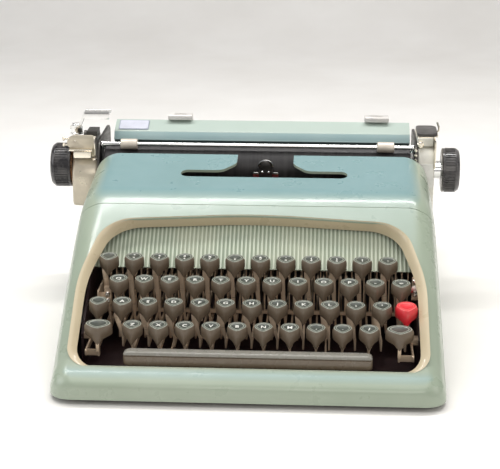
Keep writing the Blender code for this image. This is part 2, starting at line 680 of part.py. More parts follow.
# --- Base: pan with feet, side frames, fulcrum rod and carriage rail ------------
def make_base():
    inner = case_half - WALL - GAP - PAN_FIT
    front = WALL + GAP + 0.001
    rear = CASE_DEPTH - WALL - GAP - 0.001
    corner = PLAN_CORNER * 1.4
    outline = rounded(
        [
            (-inner, front, corner, 3),
            (inner, front, corner, 3),
            (inner, rear, corner, 3),
            (-inner, rear, corner, 3),
        ]
    )
    hollow = rounded(
        [
            (-inner + PAN_WALL, front + PAN_WALL, corner - PAN_WALL, 3),
            (inner - PAN_WALL, front + PAN_WALL, corner - PAN_WALL, 3),
            (inner - PAN_WALL, rear - PAN_WALL, corner - PAN_WALL, 3),
            (-inner + PAN_WALL, rear - PAN_WALL, corner - PAN_WALL, 3),
        ]
    )
    rim_top = LIP_HEIGHT - WALL - 0.001
    pan_place = Matrix.Translation((0, 0, (rim_top + PAN_FLOOR_Z) / 2))
    pan = flat_mesh("pan", [outline], rim_top - PAN_FLOOR_Z, pan_place)
    base = add_object("base_frame", pan, black_enamel)
    hollow_bottom = PAN_FLOOR_Z + PAN_WALL
    combine(
        base,
        "DIFFERENCE",
        flat_mesh("hollow", [hollow], PAN_HEIGHT, Matrix.Translation((0, 0, hollow_bottom + PAN_HEIGHT / 2))),
    )
    rail_front = RAIL_Y - RAIL_DEPTH / 2
    frame_top = RAIL_TOP_Z - RAIL_THICKNESS * 0.6
    frame_rear = RAIL_Y + RAIL_DEPTH / 2 + SIDE_FRAME_REAR
    frame_outline = [
        (row_y["home"], PAN_FLOOR_Z + PAN_WALL / 2),
        (frame_rear, PAN_FLOOR_Z + PAN_WALL / 2),
        (frame_rear, frame_top),
        (row_y["number"] + 0.022, frame_top),
        (row_y["home"] + 0.008, row_z["lower"] - 0.008),
        (row_y["home"], row_z["lower"] - 0.016),
    ]
    for side in (-1, 1):
        sheet = flat_mesh(
            f"side_frame_{side}", [frame_outline], SIDE_FRAME_THICKNESS, side_plane(side * side_frame_x)
        )
        combine(base, "UNION", sheet)
    reach = side_frame_x + SIDE_FRAME_THICKNESS / 4
    rail_rear = rail_front + RAIL_DEPTH
    bar_y = BASKET_REAR_Y + 0.001
    bar_low, bar_high = CROSS_BAR_Z
    combine(
        base,
        "UNION",
        box_mesh("rail", (-reach, rail_front, RAIL_TOP_Z - RAIL_THICKNESS), (reach, rail_rear, RAIL_TOP_Z)),
        box_mesh("cross_bar", (-reach, bar_y, bar_low), (reach, bar_y + CROSS_BAR_WIDTH, bar_high)),
        rod_mesh("fulcrum", (-reach, FULCRUM_Y, LEVER_Z), (reach, FULCRUM_Y, LEVER_Z), FULCRUM_RADIUS, 10),
    )
    foot_x = inner - FOOT_INSET[0]
    foot_ys = (front + FOOT_INSET[1], rear - FOOT_INSET[1])
    for number, (x, y) in enumerate((x, y) for y in foot_ys for x in (-foot_x, foot_x)):
        foot_top = (x, y, PAN_FLOOR_Z + PAN_WALL / 2)
        foot = rod_mesh(f"foot_{number}", (x, y, -FOOT_HEIGHT), foot_top, FOOT_RADIUS, 16)
        combine(base, "UNION", foot)
    return base


# --- Keys ----------------------------------------------------------------------
def stacked_rings(rings, sides):
    """A closed shape through level rings (radius, height, shift along y)."""
    bm = bmesh.new()
    loops = []
    for radius, height, shift in rings:
        place = Matrix.Translation((0, shift, height))
        made = bmesh.ops.create_circle(bm, segments=sides, radius=radius, matrix=place)
        verts = set(made["verts"])
        loops.append([edge for edge in bm.edges if set(edge.verts) <= verts])
    for low, high in zip(loops, loops[1:]):
        bmesh.ops.bridge_loops(bm, edges=low + high)
    bmesh.ops.edgeloop_fill(bm, edges=loops[0])
    bmesh.ops.edgeloop_fill(bm, edges=loops[-1])
    return bm


def cap_mesh(name, radius, top_z, y, prow=CAP_PROW, sides=10):
    """A key cap: round top, tapered skirt and a prow drawn forward under it."""
    rings = [
        (radius * 0.14, -CAP_SKIRT - prow, -radius * 0.50),
        (radius * 0.56, -CAP_SKIRT - 0.0008, -radius * 0.28),
        (radius * 0.86, -CAP_SKIRT, 0.0),
        (radius, -0.0010, 0.0),
        (radius * 0.88, 0.0, 0.0),
    ]
    bm = stacked_rings(rings, sides)
    place = Matrix.Translation((0, y, top_z)) @ Matrix.Rotation(CAP_TILT, 4, "X")
    bmesh.ops.transform(bm, matrix=place, verts=bm.verts)
    return mesh_from(bm, name, round_shape=True)


def lever_mesh(name, y, top_z, x=0.0):
    """A key lever seen from the side: eye on the fulcrum, flat bar, stem up into the cap."""
    half = LEVER_HEIGHT / 2
    eye = FULCRUM_RADIUS + RUNNING_CLEARANCE
    stem_top = top_z - CAP_SKIRT
    outline = rounded(
        [
            (half * 1.7, -half, half * 0.9, 2),
            (half * 1.7, half, half * 0.9, 2),
            (y + STEM_WIDTH / 2, half, 0.003, 1),
            (y + STEM_WIDTH / 2, stem_top, 0, 1),
            (y - STEM_WIDTH / 2, stem_top, 0, 1),
            (y - STEM_WIDTH / 2, -half, 0.002, 1),
        ]
    )
    return flat_mesh(name, [outline, circle(0, 0, eye, 8)], LEVER_THICKNESS, side_plane(x))


def key_mesh(name, row, radius=CAP_RADIUS, prow=CAP_PROW):
    """Cap, stem and lever of one key as one solid, drawn from the fulcrum."""
    y = row_y[row] - FULCRUM_Y
    top_z = row_z[row] - LEVER_Z
    key = add_object(name, cap_mesh(f"{name}_cap", radius, top_z, y, prow), None)
    combine(key, "UNION", lever_mesh("lever", y, top_z))
    return baked_mesh(key)


def place_key(name, mesh, x, paint):
    if not mesh.materials:
        mesh.materials.append(paint)
    return add_object(name, mesh, paint, location=(x, FULCRUM_Y, LEVER_Z))


def make_keys():
    """The character keys and the backspace key row by row, then the lock and tab keys."""
    for row, _, count in ROWS:
        mesh = key_mesh(f"{row}_row_key", row)
        for index in range(count):
            name = f"{row}_row_key_{index:02d}" if row == "number" else f"{row}_row_key_{index + 1:02d}"
            if row == "number" and index == 0:
                name = "backspace_key"
            place_key(name, mesh, row_x[row] + KEY_PITCH * index, key_plastic)
    lock = key_mesh("shift_lock", "home", LOCK_CAP_RADIUS)
    place_key("shift_lock_key", lock, lock_x, key_plastic)
    tab = key_mesh("tab", "home", TAB_CAP_RADIUS)
    place_key("tab_key", tab, tab_x, red_plastic)


def shift_arm(side, stem_x):
    """One shift key's stem, the step out to its arm, and the arm back past the fulcrum."""
    y = row_y["lower"] - FULCRUM_Y
    top_z = row_z["lower"] - LEVER_Z
    half = LEVER_HEIGHT / 2
    eye = FULCRUM_RADIUS + RUNNING_CLEARANCE
    arm_x = side * shift_arm_x
    arm = flat_mesh(
        f"arm_{side}",
        [
            rounded(
                [
                    (SHIFT_TUBE_BEHIND, -half, half * 0.9, 2),
                    (SHIFT_TUBE_BEHIND, half, half * 0.9, 2),
                    (y - STEM_WIDTH / 2, half, 0, 1),
                    (y - STEM_WIDTH / 2, -half, 0, 1),
                ]
            ),
            circle(0, 0, eye, 8),
        ],
        LEVER_THICKNESS,
        side_plane(arm_x),
    )
    thick = LEVER_THICKNESS / 2
    stem = box_mesh(
        f"stem_{side}",
        (stem_x - thick, y - STEM_WIDTH / 2, -half),
        (stem_x + thick, y + STEM_WIDTH / 2, top_z - CAP_SKIRT),
    )
    step = box_mesh(
        f"step_{side}",
        (min(stem_x, arm_x), y - thick, -half),
        (max(stem_x, arm_x), y + thick, half),
    )
    return arm, stem, step


def make_shift_keys():
    """Both shift keys on one rocking bail; its origin is on the fulcrum."""
    y = row_y["lower"] - FULCRUM_Y
    top_z = row_z["lower"] - LEVER_Z
    tube_start = (-shift_arm_x, SHIFT_TUBE_BEHIND - 0.001, 0)
    tube_end = (shift_arm_x, SHIFT_TUBE_BEHIND - 0.001, 0)
    bail = add_object("shift_keys", rod_mesh("bail", tube_start, tube_end, SHIFT_TUBE_RADIUS, 10), None)
    for side, x in ((-1, shift_left_x), (1, shift_right_x)):
        cap = cap_mesh(f"cap_{side}", CAP_RADIUS, top_z, y)
        wider = Matrix.Diagonal((SHIFT_CAP_RADIUS / CAP_RADIUS, 1, 1, 1))
        cap.transform(Matrix.Translation((x, 0, 0)) @ wider)
        combine(bail, "UNION", *shift_arm(side, x), cap)
    return add_object("shift_keys", baked_mesh(bail), key_plastic, location=(0, FULCRUM_Y, LEVER_Z))


def make_space_bar():
    """The space bar on two arms that run back between the key levers."""
    front = SPACE_FRONT_Y - FULCRUM_Y
    bottom = SPACE_BOTTOM_Z - LEVER_Z
    half = LEVER_HEIGHT / 2
    end_radius = SPACE_HEIGHT * 0.4
    outline = rounded(
        [
            (-SPACE_LENGTH / 2, bottom, end_radius, 3),
            (SPACE_LENGTH / 2, bottom, end_radius, 3),
            (SPACE_LENGTH / 2, bottom + SPACE_HEIGHT, end_radius, 3),
            (-SPACE_LENGTH / 2, bottom + SPACE_HEIGHT, end_radius, 3),
        ]
    )
    middle = front + SPACE_DEPTH / 2
    dip = SPACE_ARM_FRONT_Z - LEVER_Z
    bar = add_object("space_bar", flat_mesh("bar", [outline], SPACE_DEPTH, cross_plane(middle)), None)
    eye = FULCRUM_RADIUS + RUNNING_CLEARANCE
    for pitches in SPACE_ARM_PITCHES:
        x = row_x["number"] + KEY_PITCH * pitches
        post = STEM_WIDTH / 2
        arm_outline = rounded(
            [
                (half * 1.7, -half, half * 0.9, 2),
                (half * 1.7, half, half * 0.9, 2),
                (middle + post, dip + half, 0, 1),
                (middle + post, bottom + SPACE_HEIGHT / 4, 0, 1),
                (middle - post, bottom + SPACE_HEIGHT / 4, 0, 1),
                (middle - post, dip - half, 0, 1),
            ]
        )
        arm = flat_mesh(
            f"arm_{pitches}", [arm_outline, circle(0, 0, eye, 8)], LEVER_THICKNESS, side_plane(x)
        )
        combine(bar, "UNION", arm)
    return add_object("space_bar", baked_mesh(bar), bar_plastic, location=(0, FULCRUM_Y, LEVER_Z))


# --- Type basket: segment, typebar rest and type guide, moved down by the shift --
def basket_ring(name, y, thickness):
    """A half ring that opens upwards round the printing point."""
    steps = 12
    outer = BASKET_RADIUS
    inner = BASKET_RADIUS - BASKET_BAND
    outline = []
    for radius, order in ((outer, range(steps + 1)), (inner, range(steps, -1, -1))):
        for step in order:
            angle = math.pi + math.pi * step / steps
            outline.append((TYPE_X + radius * math.cos(angle), BASKET_TOP_Z + radius * math.sin(angle)))
    return flat_mesh(name, [outline], thickness, cross_plane(y))


def make_basket():
    rear_y = BASKET_REAR_Y - 0.006
    front_y = BASKET_REAR_Y - BASKET_DEPTH + 0.003
    tie_z = BASKET_TOP_Z - BASKET_RADIUS + BASKET_TIE_STEP
    bottom = BASKET_TOP_Z - BASKET_RADIUS
    basket = add_object("type_basket", basket_ring("segment", rear_y, SEGMENT_THICKNESS), nickel)
    rest = basket_ring("typebar_rest", front_y, REST_THICKNESS)
    tie = box_mesh(
        "tie",
        (TYPE_X - BASKET_TIE_HALF, front_y, tie_z),
        (TYPE_X + BASKET_TIE_HALF, rear_y, tie_z + BASKET_TIE_HEIGHT),
    )
    guide_y = BASKET_REAR_Y + GUIDE_STEP
    guide_bottom = bottom + BASKET_BAND * 0.4
    half = GUIDE_WIDTH / 2
    guide_outline = rounded(
        [
            (TYPE_X - half, guide_bottom, 0, 1),
            (TYPE_X + half, guide_bottom, 0, 1),
            (TYPE_X + half, GUIDE_TOP_Z, half * 0.7, 3),
            (TYPE_X - half, GUIDE_TOP_Z, half * 0.7, 3),
        ]
    )
    guide = flat_mesh("guide", [guide_outline], GUIDE_THICKNESS, cross_plane(guide_y))
    neck = box_mesh(
        "neck",
        (TYPE_X - half * 0.8, rear_y, guide_bottom),
        (TYPE_X + half * 0.8, guide_y, guide_bottom + GUIDE_NECK_HEIGHT),
    )
    combine(basket, "UNION", rest, tie, neck, guide)
    return basket


# --- Carriage -------------------------------------------------------------------
def end_plate(name, inner_x, outer_x):
    outline = rounded(
        [
            (PLATE_FRONT_Y, PLATE_BOTTOM_Z, PLATE_FOOT_CORNER, 2),
            (PLATE_REAR_Y, PLATE_BOTTOM_Z, PLATE_FOOT_CORNER, 2),
            (PLATE_REAR_Y, PLATE_TOP_Z, PLATE_REAR_CORNER, 3),
            (PLATE_FRONT_Y, PLATE_TOP_Z, PLATE_FRONT_CORNER, 4),
        ]
    )
    axle_hole = circle(PLATEN_Y, PLATEN_Z, AXLE_RADIUS + RUNNING_CLEARANCE, 16)
    pivot_hole = circle(BAIL_PIVOT_Y, BAIL_PIVOT_Z, BAIL_ROD_RADIUS + RUNNING_CLEARANCE, 10)
    thickness = abs(outer_x - inner_x)
    middle = (inner_x + outer_x) / 2
    return flat_mesh(name, [outline, axle_hole, pivot_hole], thickness, side_plane(middle))


def make_carriage_frame():
    """Both end plates on the truck that runs along the rail."""
    left = end_plate("left", platen_left_gap_x, platen_left_gap_x - LEFT_PLATE_THICKNESS)
    right = end_plate("right", platen_right_gap_x, platen_right_gap_x + RIGHT_PLATE_THICKNESS)
    frame = add_object("carriage_frame", left, nickel, carriage)
    truck_front = RAIL_Y - RAIL_DEPTH / 2
    truck = box_mesh(
        "truck",
        (platen_left_gap_x - TRUCK_OVERLAP, truck_front, PLATE_BOTTOM_Z),
        (platen_right_gap_x + TRUCK_OVERLAP, PLATE_REAR_Y - 0.001, PLATE_BOTTOM_Z + TRUCK_THICKNESS),
    )
    return combine(frame, "UNION", right, truck)


def knob_mesh(name, side, width):
    """A knob with a chamfered outer edge, standing on the platen's axle."""
    outer = side * KNOB_OUTER_X
    rings = [
        (KNOB_RADIUS * 0.9, 0.0, 0.0),
        (KNOB_RADIUS, KNOB_CHAMFER[0], 0.0),
        (KNOB_RADIUS, width - KNOB_CHAMFER[1], 0.0),
        (KNOB_RADIUS * 0.82, width, 0.0),
    ]
    bm = stacked_rings(rings, 20)
    turn = Matrix.Rotation(side * math.pi / 2, 4, "Y")
    place = Matrix.Translation((outer - side * width, 0, 0)) @ turn
    bmesh.ops.transform(bm, matrix=place, verts=bm.verts)
    return mesh_from(bm, name, round_shape=True)


def make_platen():
    """Roller, axle and both knobs, which turn as one; the origin is on the axle."""
    roller = rod_mesh("roller", (PLATEN_LEFT_X, 0, 0), (PLATEN_RIGHT_X, 0, 0), PLATEN_RADIUS, 32)
    platen = add_object("platen", roller, rubber)
    axle_reach = KNOB_OUTER_X - KNOB_WIDTH_RIGHT / 2
    axle = rod_mesh("axle", (-axle_reach, 0, 0), (axle_reach, 0, 0), AXLE_RADIUS, 16)
    left = knob_mesh("knob_left", -1, KNOB_WIDTH_LEFT)
    right = knob_mesh("knob_right", 1, KNOB_WIDTH_RIGHT)
    combine(platen, "UNION", axle, left, right)
    mesh = baked_mesh(platen)
    return add_object("platen", mesh, rubber, carriage, (0, PLATEN_Y, PLATEN_Z))


def make_bail():
    """The paper bail: a rod with two rollers between two arms; its origin is on its pivot."""
    y = bail_rod_y - BAIL_PIVOT_Y
    z = bail_rod_z - BAIL_PIVOT_Z
    left_x = PLATEN_LEFT_X - BAIL_SPACE / 2
    right_x = PLATEN_RIGHT_X + BAIL_SPACE / 2
    rod = rod_mesh("rod", (left_x, y, z), (right_x, y, z), BAIL_ROD_RADIUS, 10)
    bail = add_object("paper_bail", rod, chrome)
    for side, x in ((-1, left_x), (1, right_x)):
        along = math.atan2(z, y)
        length = math.hypot(y, z)
        width = BAIL_ROD_RADIUS + BAIL_ARM_BORDER
        outline = rounded(
            [
                (-width, -width, width * 0.9, 2),
                (length + width, -width, width * 0.9, 2),
                (length + width, width, width * 0.9, 2),
                (-width, width, width * 0.9, 2),
            ]
        )
        turn = Matrix.Rotation(along, 4, "Z")
        arm = flat_mesh(f"bail_arm_{side}", [outline], BAIL_ARM_THICKNESS, side_plane(x) @ turn)
        pin = rod_mesh(f"pivot_{side}", (x, 0, 0), (x + side * BAIL_PIVOT_PIN, 0, 0), BAIL_ROD_RADIUS, 10)
        roller_end = x - side * BAIL_ROLLER_INSET
        roller = rod_mesh(
            f"roller_{side}",
            (roller_end, y, z),
            (roller_end - side * BAIL_ROLLER_LENGTH, y, z),
            BAIL_ROLLER_RADIUS,
            14,
        )
        combine(bail, "UNION", arm, pin, roller)
    mesh = baked_mesh(bail)
    return add_object("paper_bail", mesh, chrome, carriage, (0, BAIL_PIVOT_Y, BAIL_PIVOT_Z))


def table_profile():
    """(y, z) down the paper table and round behind the platen to its foot on the truck."""
    radius = PLATEN_RADIUS + TABLE_PLATEN_GAP
    points = [TABLE_TOP, TABLE_CREASE]
    for degrees in range(66, -1, -11):
        angle = math.radians(degrees)
        points.append((PLATEN_Y + radius * math.cos(angle), PLATEN_Z + radius * math.sin(angle)))
    foot_z = PLATE_BOTTOM_Z + TRUCK_THICKNESS + GAP + TABLE_THICKNESS
    points.append((PLATEN_Y + radius + 0.001, foot_z))
    points.append((PLATE_REAR_Y - 0.004, foot_z))
    return points


def make_paper_table():
    """A bent sheet: the profile as an edge, drawn out along x, then given its thickness."""
    bm = bmesh.new()
    right_x = PLATEN_RIGHT_X + GAP
    verts = [bm.verts.new((TABLE_LEFT_X, y, z)) for y, z in table_profile()]
    edges = [bm.edges.new(pair) for pair in zip(verts, verts[1:])]
    drawn = bmesh.ops.extrude_edge_only(bm, edges=edges)
    moved = [item for item in drawn["geom"] if isinstance(item, bmesh.types.BMVert)]
    bmesh.ops.translate(bm, verts=moved, vec=(right_x - TABLE_LEFT_X, 0, 0))
    mesh = bpy.data.meshes.new("table_sheet")
    bm.to_mesh(mesh)
    bm.free()
    table = add_object("paper_table", mesh, table_paint, carriage)
    sheet = table.modifiers.new("thickness", "SOLIDIFY")
    sheet.thickness = TABLE_THICKNESS
    sheet.offset = 0
    sheet.use_even_offset = True
    return table


def make_margin_stop(name, x):
    """A slider that sits over and behind the paper table's top edge."""
    edge_y, edge_z = TABLE_TOP
    clear = TABLE_THICKNESS / 2 + GAP + STOP_CLEARANCE
    top = edge_z + STOP_HEIGHT * 0.6
    bottom = top - STOP_HEIGHT
    outline = [
        (edge_y - STOP_OVERHANG, edge_z + clear),
        (edge_y + clear, edge_z + clear),
        (edge_y + clear, bottom),
        (edge_y + clear + STOP_BACK, bottom),
        (edge_y + clear + STOP_BACK, top),
        (edge_y - STOP_OVERHANG, top),
    ]
    mesh = flat_mesh(name, [outline], STOP_WIDTH, side_plane(0))
    return add_object(name, mesh, nickel, carriage, (x, 0, 0))


def make_return_lever():
    """The carriage return lever folded in over the carriage; its origin is on its pivot."""
    pivot_x, pivot_y = RETURN_PIVOT
    base_z = PLATE_TOP_Z + GAP
    boss = rod_mesh("boss", (0, 0, 0), (0, 0, RETURN_BOSS_HEIGHT), RETURN_BOSS_RADIUS, 16)
    lever = add_object("return_lever", boss, chrome)
    thick = RETURN_THICKNESS
    top = RETURN_BOSS_HEIGHT + RETURN_LIFT
    end_x = RETURN_BEND_X + RETURN_REACH
    outline = [
        (-RETURN_FOOT, RETURN_BOSS_HEIGHT / 2),
        (RETURN_FOOT, RETURN_BOSS_HEIGHT / 2),
        (RETURN_BEND_X, top - thick),
        (end_x, top - thick - 0.001),
        (end_x, top - 0.001),
        (RETURN_FOOT * 1.5, top),
        (-RETURN_FOOT, RETURN_BOSS_HEIGHT),
    ]
    strip = flat_mesh("strip", [outline], RETURN_WIDTH * 0.7, cross_plane(0))
    paddle = box_mesh(
        "paddle",
        (RETURN_PADDLE_X, -RETURN_WIDTH / 2, top - RETURN_PADDLE_DEPTH),
        (end_x, RETURN_WIDTH / 2, top),
    )
    combine(lever, "UNION", strip, paddle)
    mesh = baked_mesh(lever)
    return add_object("return_lever", mesh, chrome, carriage, (pivot_x, pivot_y, base_z))


make_base()
make_casing()
make_cover()
make_keys()
make_shift_keys()
make_space_bar()
make_basket()
make_carriage_frame()
make_platen()
make_bail()
make_paper_table()
make_margin_stop("margin_stop_left", STOP_LEFT_X)
make_margin_stop("margin_stop_right", STOP_RIGHT_X)
make_return_lever()
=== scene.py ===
"""A portable typewriter, its carriage in mid travel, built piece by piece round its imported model."""

import math

import bmesh
import bpy
from mathutils import Matrix, Vector


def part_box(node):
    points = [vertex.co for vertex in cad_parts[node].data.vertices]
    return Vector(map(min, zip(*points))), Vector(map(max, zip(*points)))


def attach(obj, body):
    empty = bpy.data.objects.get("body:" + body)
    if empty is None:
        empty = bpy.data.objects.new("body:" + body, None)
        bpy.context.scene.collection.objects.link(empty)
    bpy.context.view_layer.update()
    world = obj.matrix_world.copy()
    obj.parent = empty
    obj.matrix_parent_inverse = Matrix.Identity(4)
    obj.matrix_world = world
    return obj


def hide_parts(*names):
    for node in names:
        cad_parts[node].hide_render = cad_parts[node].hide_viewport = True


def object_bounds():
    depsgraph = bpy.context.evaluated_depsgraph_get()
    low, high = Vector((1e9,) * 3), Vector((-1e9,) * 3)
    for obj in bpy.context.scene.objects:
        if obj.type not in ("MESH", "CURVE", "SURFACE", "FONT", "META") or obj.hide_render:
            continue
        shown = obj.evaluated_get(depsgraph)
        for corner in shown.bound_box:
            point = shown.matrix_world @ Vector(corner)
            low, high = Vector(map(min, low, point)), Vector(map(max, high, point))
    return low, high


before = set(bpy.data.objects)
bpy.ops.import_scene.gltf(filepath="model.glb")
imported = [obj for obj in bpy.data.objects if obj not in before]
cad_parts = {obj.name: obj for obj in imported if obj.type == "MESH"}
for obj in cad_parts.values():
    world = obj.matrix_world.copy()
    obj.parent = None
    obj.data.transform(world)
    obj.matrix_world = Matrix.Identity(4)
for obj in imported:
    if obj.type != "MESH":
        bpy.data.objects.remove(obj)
cad_low, cad_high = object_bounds()

# --- Table, lights and camera ---
# A pale sheet laid under the machine and up behind it, lit by big soft lamps from above,
# the front and both sides, and looked at from a person's height across the table.
EYE = (0.0592, -1.1039, 0.4363)
LENS = 103.0
SHEET_RADIUS = 0.5
SHEET_DEPTH = 1.1
SHEET_STEPS = 12
SHEET_HEIGHT = 3.0
SHEET_HALF_WIDTH = 4.0
ROOM_LIGHT = (0.93, 0.95, 1.0, 1)
ROOM_STRENGTH = 0.24
AIM_SHIFT = (0.0, -0.012, -0.004)
SENSOR_WIDTH = 36.0
LAMPS = (
    ("overhead", (-0.05, 0.22, 1.15), (1.60, 0.12), 13.0, (1.0, 0.99, 0.97)),
    ("ceiling", (0.10, -0.45, 1.60), (1.60, 1.20), 9.0, (1.0, 0.985, 0.96)),
    ("front", (0.30, -1.80, 0.95), (1.20, 0.80), 7.5, (1.0, 0.95, 0.88)),
    ("left", (-1.50, -0.45, 0.70), (0.80, 0.90), 5.5, (0.95, 0.98, 1.0)),
    ("right", (1.40, -0.45, 0.60), (0.60, 0.80), 3.0, (1.0, 0.95, 0.88)),
)


def put(tree, kind, sockets=None, **settings):
    """Adds a node, with its settings and with values or links on its input sockets."""
    made = tree.nodes.new(kind)
    for name, value in settings.items():
        setattr(made, name, value)
    for name, value in (sockets or {}).items():
        if isinstance(value, bpy.types.NodeSocket):
            tree.links.new(value, made.inputs[name])
        else:
            made.inputs[name].default_value = value
    return made


def new_finish(name, roughness, metallic=0.0, **sockets):
    """A material with a Principled shader, and the Object coordinates its patterns read."""
    finish = bpy.data.materials.new(name)
    finish.use_nodes = True
    shader = finish.node_tree.nodes["Principled BSDF"]
    shader.inputs["Roughness"].default_value = roughness
    shader.inputs["Metallic"].default_value = metallic
    for label, value in sockets.items():
        shader.inputs[label.replace("_", " ").title().replace("Ior", "IOR")].default_value = value
    place = put(finish.node_tree, "ShaderNodeTexCoord").outputs["Object"]
    return finish, finish.node_tree, shader, place


def cloudy(tree, place, scale, detail=3.0, roughness=0.55):
    """A noise pattern's value, with this many clouds to the metre."""
    settings = {"Vector": place, "Scale": scale, "Detail": detail, "Roughness": roughness}
    return put(tree, "ShaderNodeTexNoise", settings).outputs["Fac"]


def ramp(tree, value, low, high, to_low=0.0, to_high=1.0):
    """A value spread from low..high to to_low..to_high, and held at both ends."""
    settings = {"Value": value, "From Min": low, "From Max": high, "To Min": to_low, "To Max": to_high}
    return put(tree, "ShaderNodeMapRange", settings).outputs["Result"]


def blend(tree, share, first, second, mode="MIX"):
    """One colour mixed into another by a share."""
    mixed = put(tree, "ShaderNodeMix", {0: share, 6: first, 7: second}, data_type="RGBA", blend_type=mode)
    return mixed.outputs[2]


def roughen(tree, shader, height, strength, depth):
    """Bumps of this depth in metres under the shader's gloss."""
    settings = {"Height": height, "Strength": strength, "Distance": depth}
    bump = put(tree, "ShaderNodeBump", settings)
    tree.links.new(bump.outputs["Normal"], shader.inputs["Normal"])


def dress(tree, shader, colour, roughness=None):
    """Feeds a colour, and a roughness where it varies, to a material's shader."""
    tree.links.new(colour, shader.inputs["Base Color"])
    if roughness is not None:
        tree.links.new(roughness, shader.inputs["Roughness"])


def add(name, data):
    """An object that holds this mesh, curve, lamp or camera, put in the scene."""
    holder = bpy.data.objects.new(name, data)
    bpy.context.scene.collection.objects.link(holder)
    return holder


def point_at(holder, spot, aim):
    """Stands a lamp or camera at a spot and turns it to look at its aim."""
    holder.location = spot
    holder.rotation_euler = (aim - Vector(spot)).to_track_quat("-Z", "Y").to_euler()


def make_stage():
    sheet = bpy.data.meshes.new("pale_sheet")
    points = [(-SHEET_DEPTH * 4, 0.0)]
    for step in range(SHEET_STEPS + 1):
        angle = math.pi / 2 * step / SHEET_STEPS
        points.append((SHEET_DEPTH + SHEET_RADIUS * math.sin(angle), SHEET_RADIUS * (1 - math.cos(angle))))
    points.append((SHEET_DEPTH + SHEET_RADIUS, SHEET_HEIGHT))
    verts = [(x, y, z) for y, z in points for x in (-SHEET_HALF_WIDTH, SHEET_HALF_WIDTH)]
    faces = [(2 * i, 2 * i + 1, 2 * i + 3, 2 * i + 2) for i in range(len(points) - 1)]
    sheet.from_pydata(verts, [], faces)
    sheet.shade_smooth()
    cloth, tree, shader, place = new_finish("pale_cloth", 0.9)
    share = ramp(tree, cloudy(tree, place, 6.0), 0.3, 0.7)
    colour = blend(tree, share, (0.86, 0.84, 0.81, 1), (0.93, 0.915, 0.89, 1))
    dress(tree, shader, colour)
    sheet.materials.append(cloth)
    add("pale_sheet", sheet)
    aim = (cad_low + cad_high) / 2
    for name, spot, size, power, tint in LAMPS:
        lamp = bpy.data.lights.new(name, "AREA")
        lamp.shape = "RECTANGLE"
        lamp.size, lamp.size_y = size
        lamp.energy = power
        lamp.color = tint
        point_at(add(name, lamp), spot, aim)
    world = bpy.data.worlds.new("room")
    world.use_nodes = True
    world.node_tree.nodes["Background"].inputs["Color"].default_value = ROOM_LIGHT
    world.node_tree.nodes["Background"].inputs["Strength"].default_value = ROOM_STRENGTH
    bpy.context.scene.world = world


def make_camera():
    camera = bpy.data.cameras.new("camera")
    camera.lens = LENS
    camera.sensor_width = SENSOR_WIDTH
    holder = add("camera", camera)
    point_at(holder, EYE, (cad_low + cad_high) / 2 + Vector(AIM_SHIFT))
    bpy.context.scene.camera = holder
    bpy.context.scene.view_settings.view_transform = "Standard"


make_stage()
make_camera()

# --- Base pan and feet ---
# A shallow steel pan, black enamelled, closes the machine from below and carries the side
# frames and the rail; four rubber cups are screwed under its corners.
FOOT_HEIGHT = 0.004
FOOT_RADIUS = 0.0106
FOOT_INSET = 0.0300
case_low, case_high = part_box("body_casing")
CASE_DEPTH = case_high.y - case_low.y
CASE_HALF = (case_high.x - case_low.x) / 2
at_machine = Matrix.Translation(((case_low.x + case_high.x) / 2, case_low.y, FOOT_HEIGHT))
at_carriage = Matrix.Translation((0, case_low.y, FOOT_HEIGHT))


def fit(name, mesh, body, finishes, stands_for=(), matrix=at_machine, sharp=35):
    """Places a finished mesh in the machine, shades it and rides it on its body."""
    if isinstance(mesh, bmesh.types.BMesh):
        bm = mesh
        mesh = bpy.data.meshes.new(name)
        bmesh.ops.recalc_face_normals(bm, faces=bm.faces)
        bm.to_mesh(mesh)
        bm.free()
    mesh.name = name
    mesh.transform(matrix)
    mesh.shade_smooth()
    mesh.set_sharp_from_angle(angle=math.radians(sharp))
    if not mesh.materials:
        for finish in finishes:
            mesh.materials.append(finish)
    piece = add(name, mesh)
    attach(piece, body)
    if stands_for:
        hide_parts(*stands_for)
    return piece


def paint_node(node, *finishes):
    """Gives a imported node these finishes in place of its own."""
    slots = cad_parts[node].data.materials
    slots.clear()
    for finish in finishes:
        slots.append(finish)


def turned(bm, profile, matrix=Matrix.Identity(4), sides=32, material=0):
    """A lathe-turned shape: (radius, height) points turned round the third axis."""
    rings = []
    for radius, height in profile:
        if radius < 1e-6:
            rings.append([bm.verts.new(matrix @ Vector((0, 0, height)))])
            continue
        turns = [2 * math.pi * i / sides for i in range(sides)]
        ring = [(radius * math.cos(turn), radius * math.sin(turn), height) for turn in turns]
        rings.append([bm.verts.new(matrix @ Vector(spot)) for spot in ring])
    for low, high in zip(rings, rings[1:]):
        for i in range(sides):
            j = (i + 1) % sides
            if len(low) == 1:
                corners = (low[0], high[j], high[i])
            elif len(high) == 1:
                corners = (low[i], low[j], high[0])
            else:
                corners = (low[i], low[j], high[j], high[i])
            bm.faces.new(corners).material_index = material
    for ring in (rings[0], rings[-1]):
        if len(ring) > 1:
            bm.faces.new(ring).material_index = material
    return bm


def black_enamel():
    """Stoved black with a fine crackle, thin dust on its flats."""
    finish, tree, shader, place = new_finish("black_enamel", 0.42)
    dust = ramp(tree, cloudy(tree, place, 28.0, 5.0), 0.45, 0.75)
    colour = blend(tree, dust, (0.022, 0.010, 0.012, 1), (0.055, 0.030, 0.030, 1))
    dress(tree, shader, colour, ramp(tree, dust, 0.0, 1.0, 0.34, 0.62))
    roughen(tree, shader, cloudy(tree, place, 1400.0, 2.0), 0.35, 0.0004)
    return finish


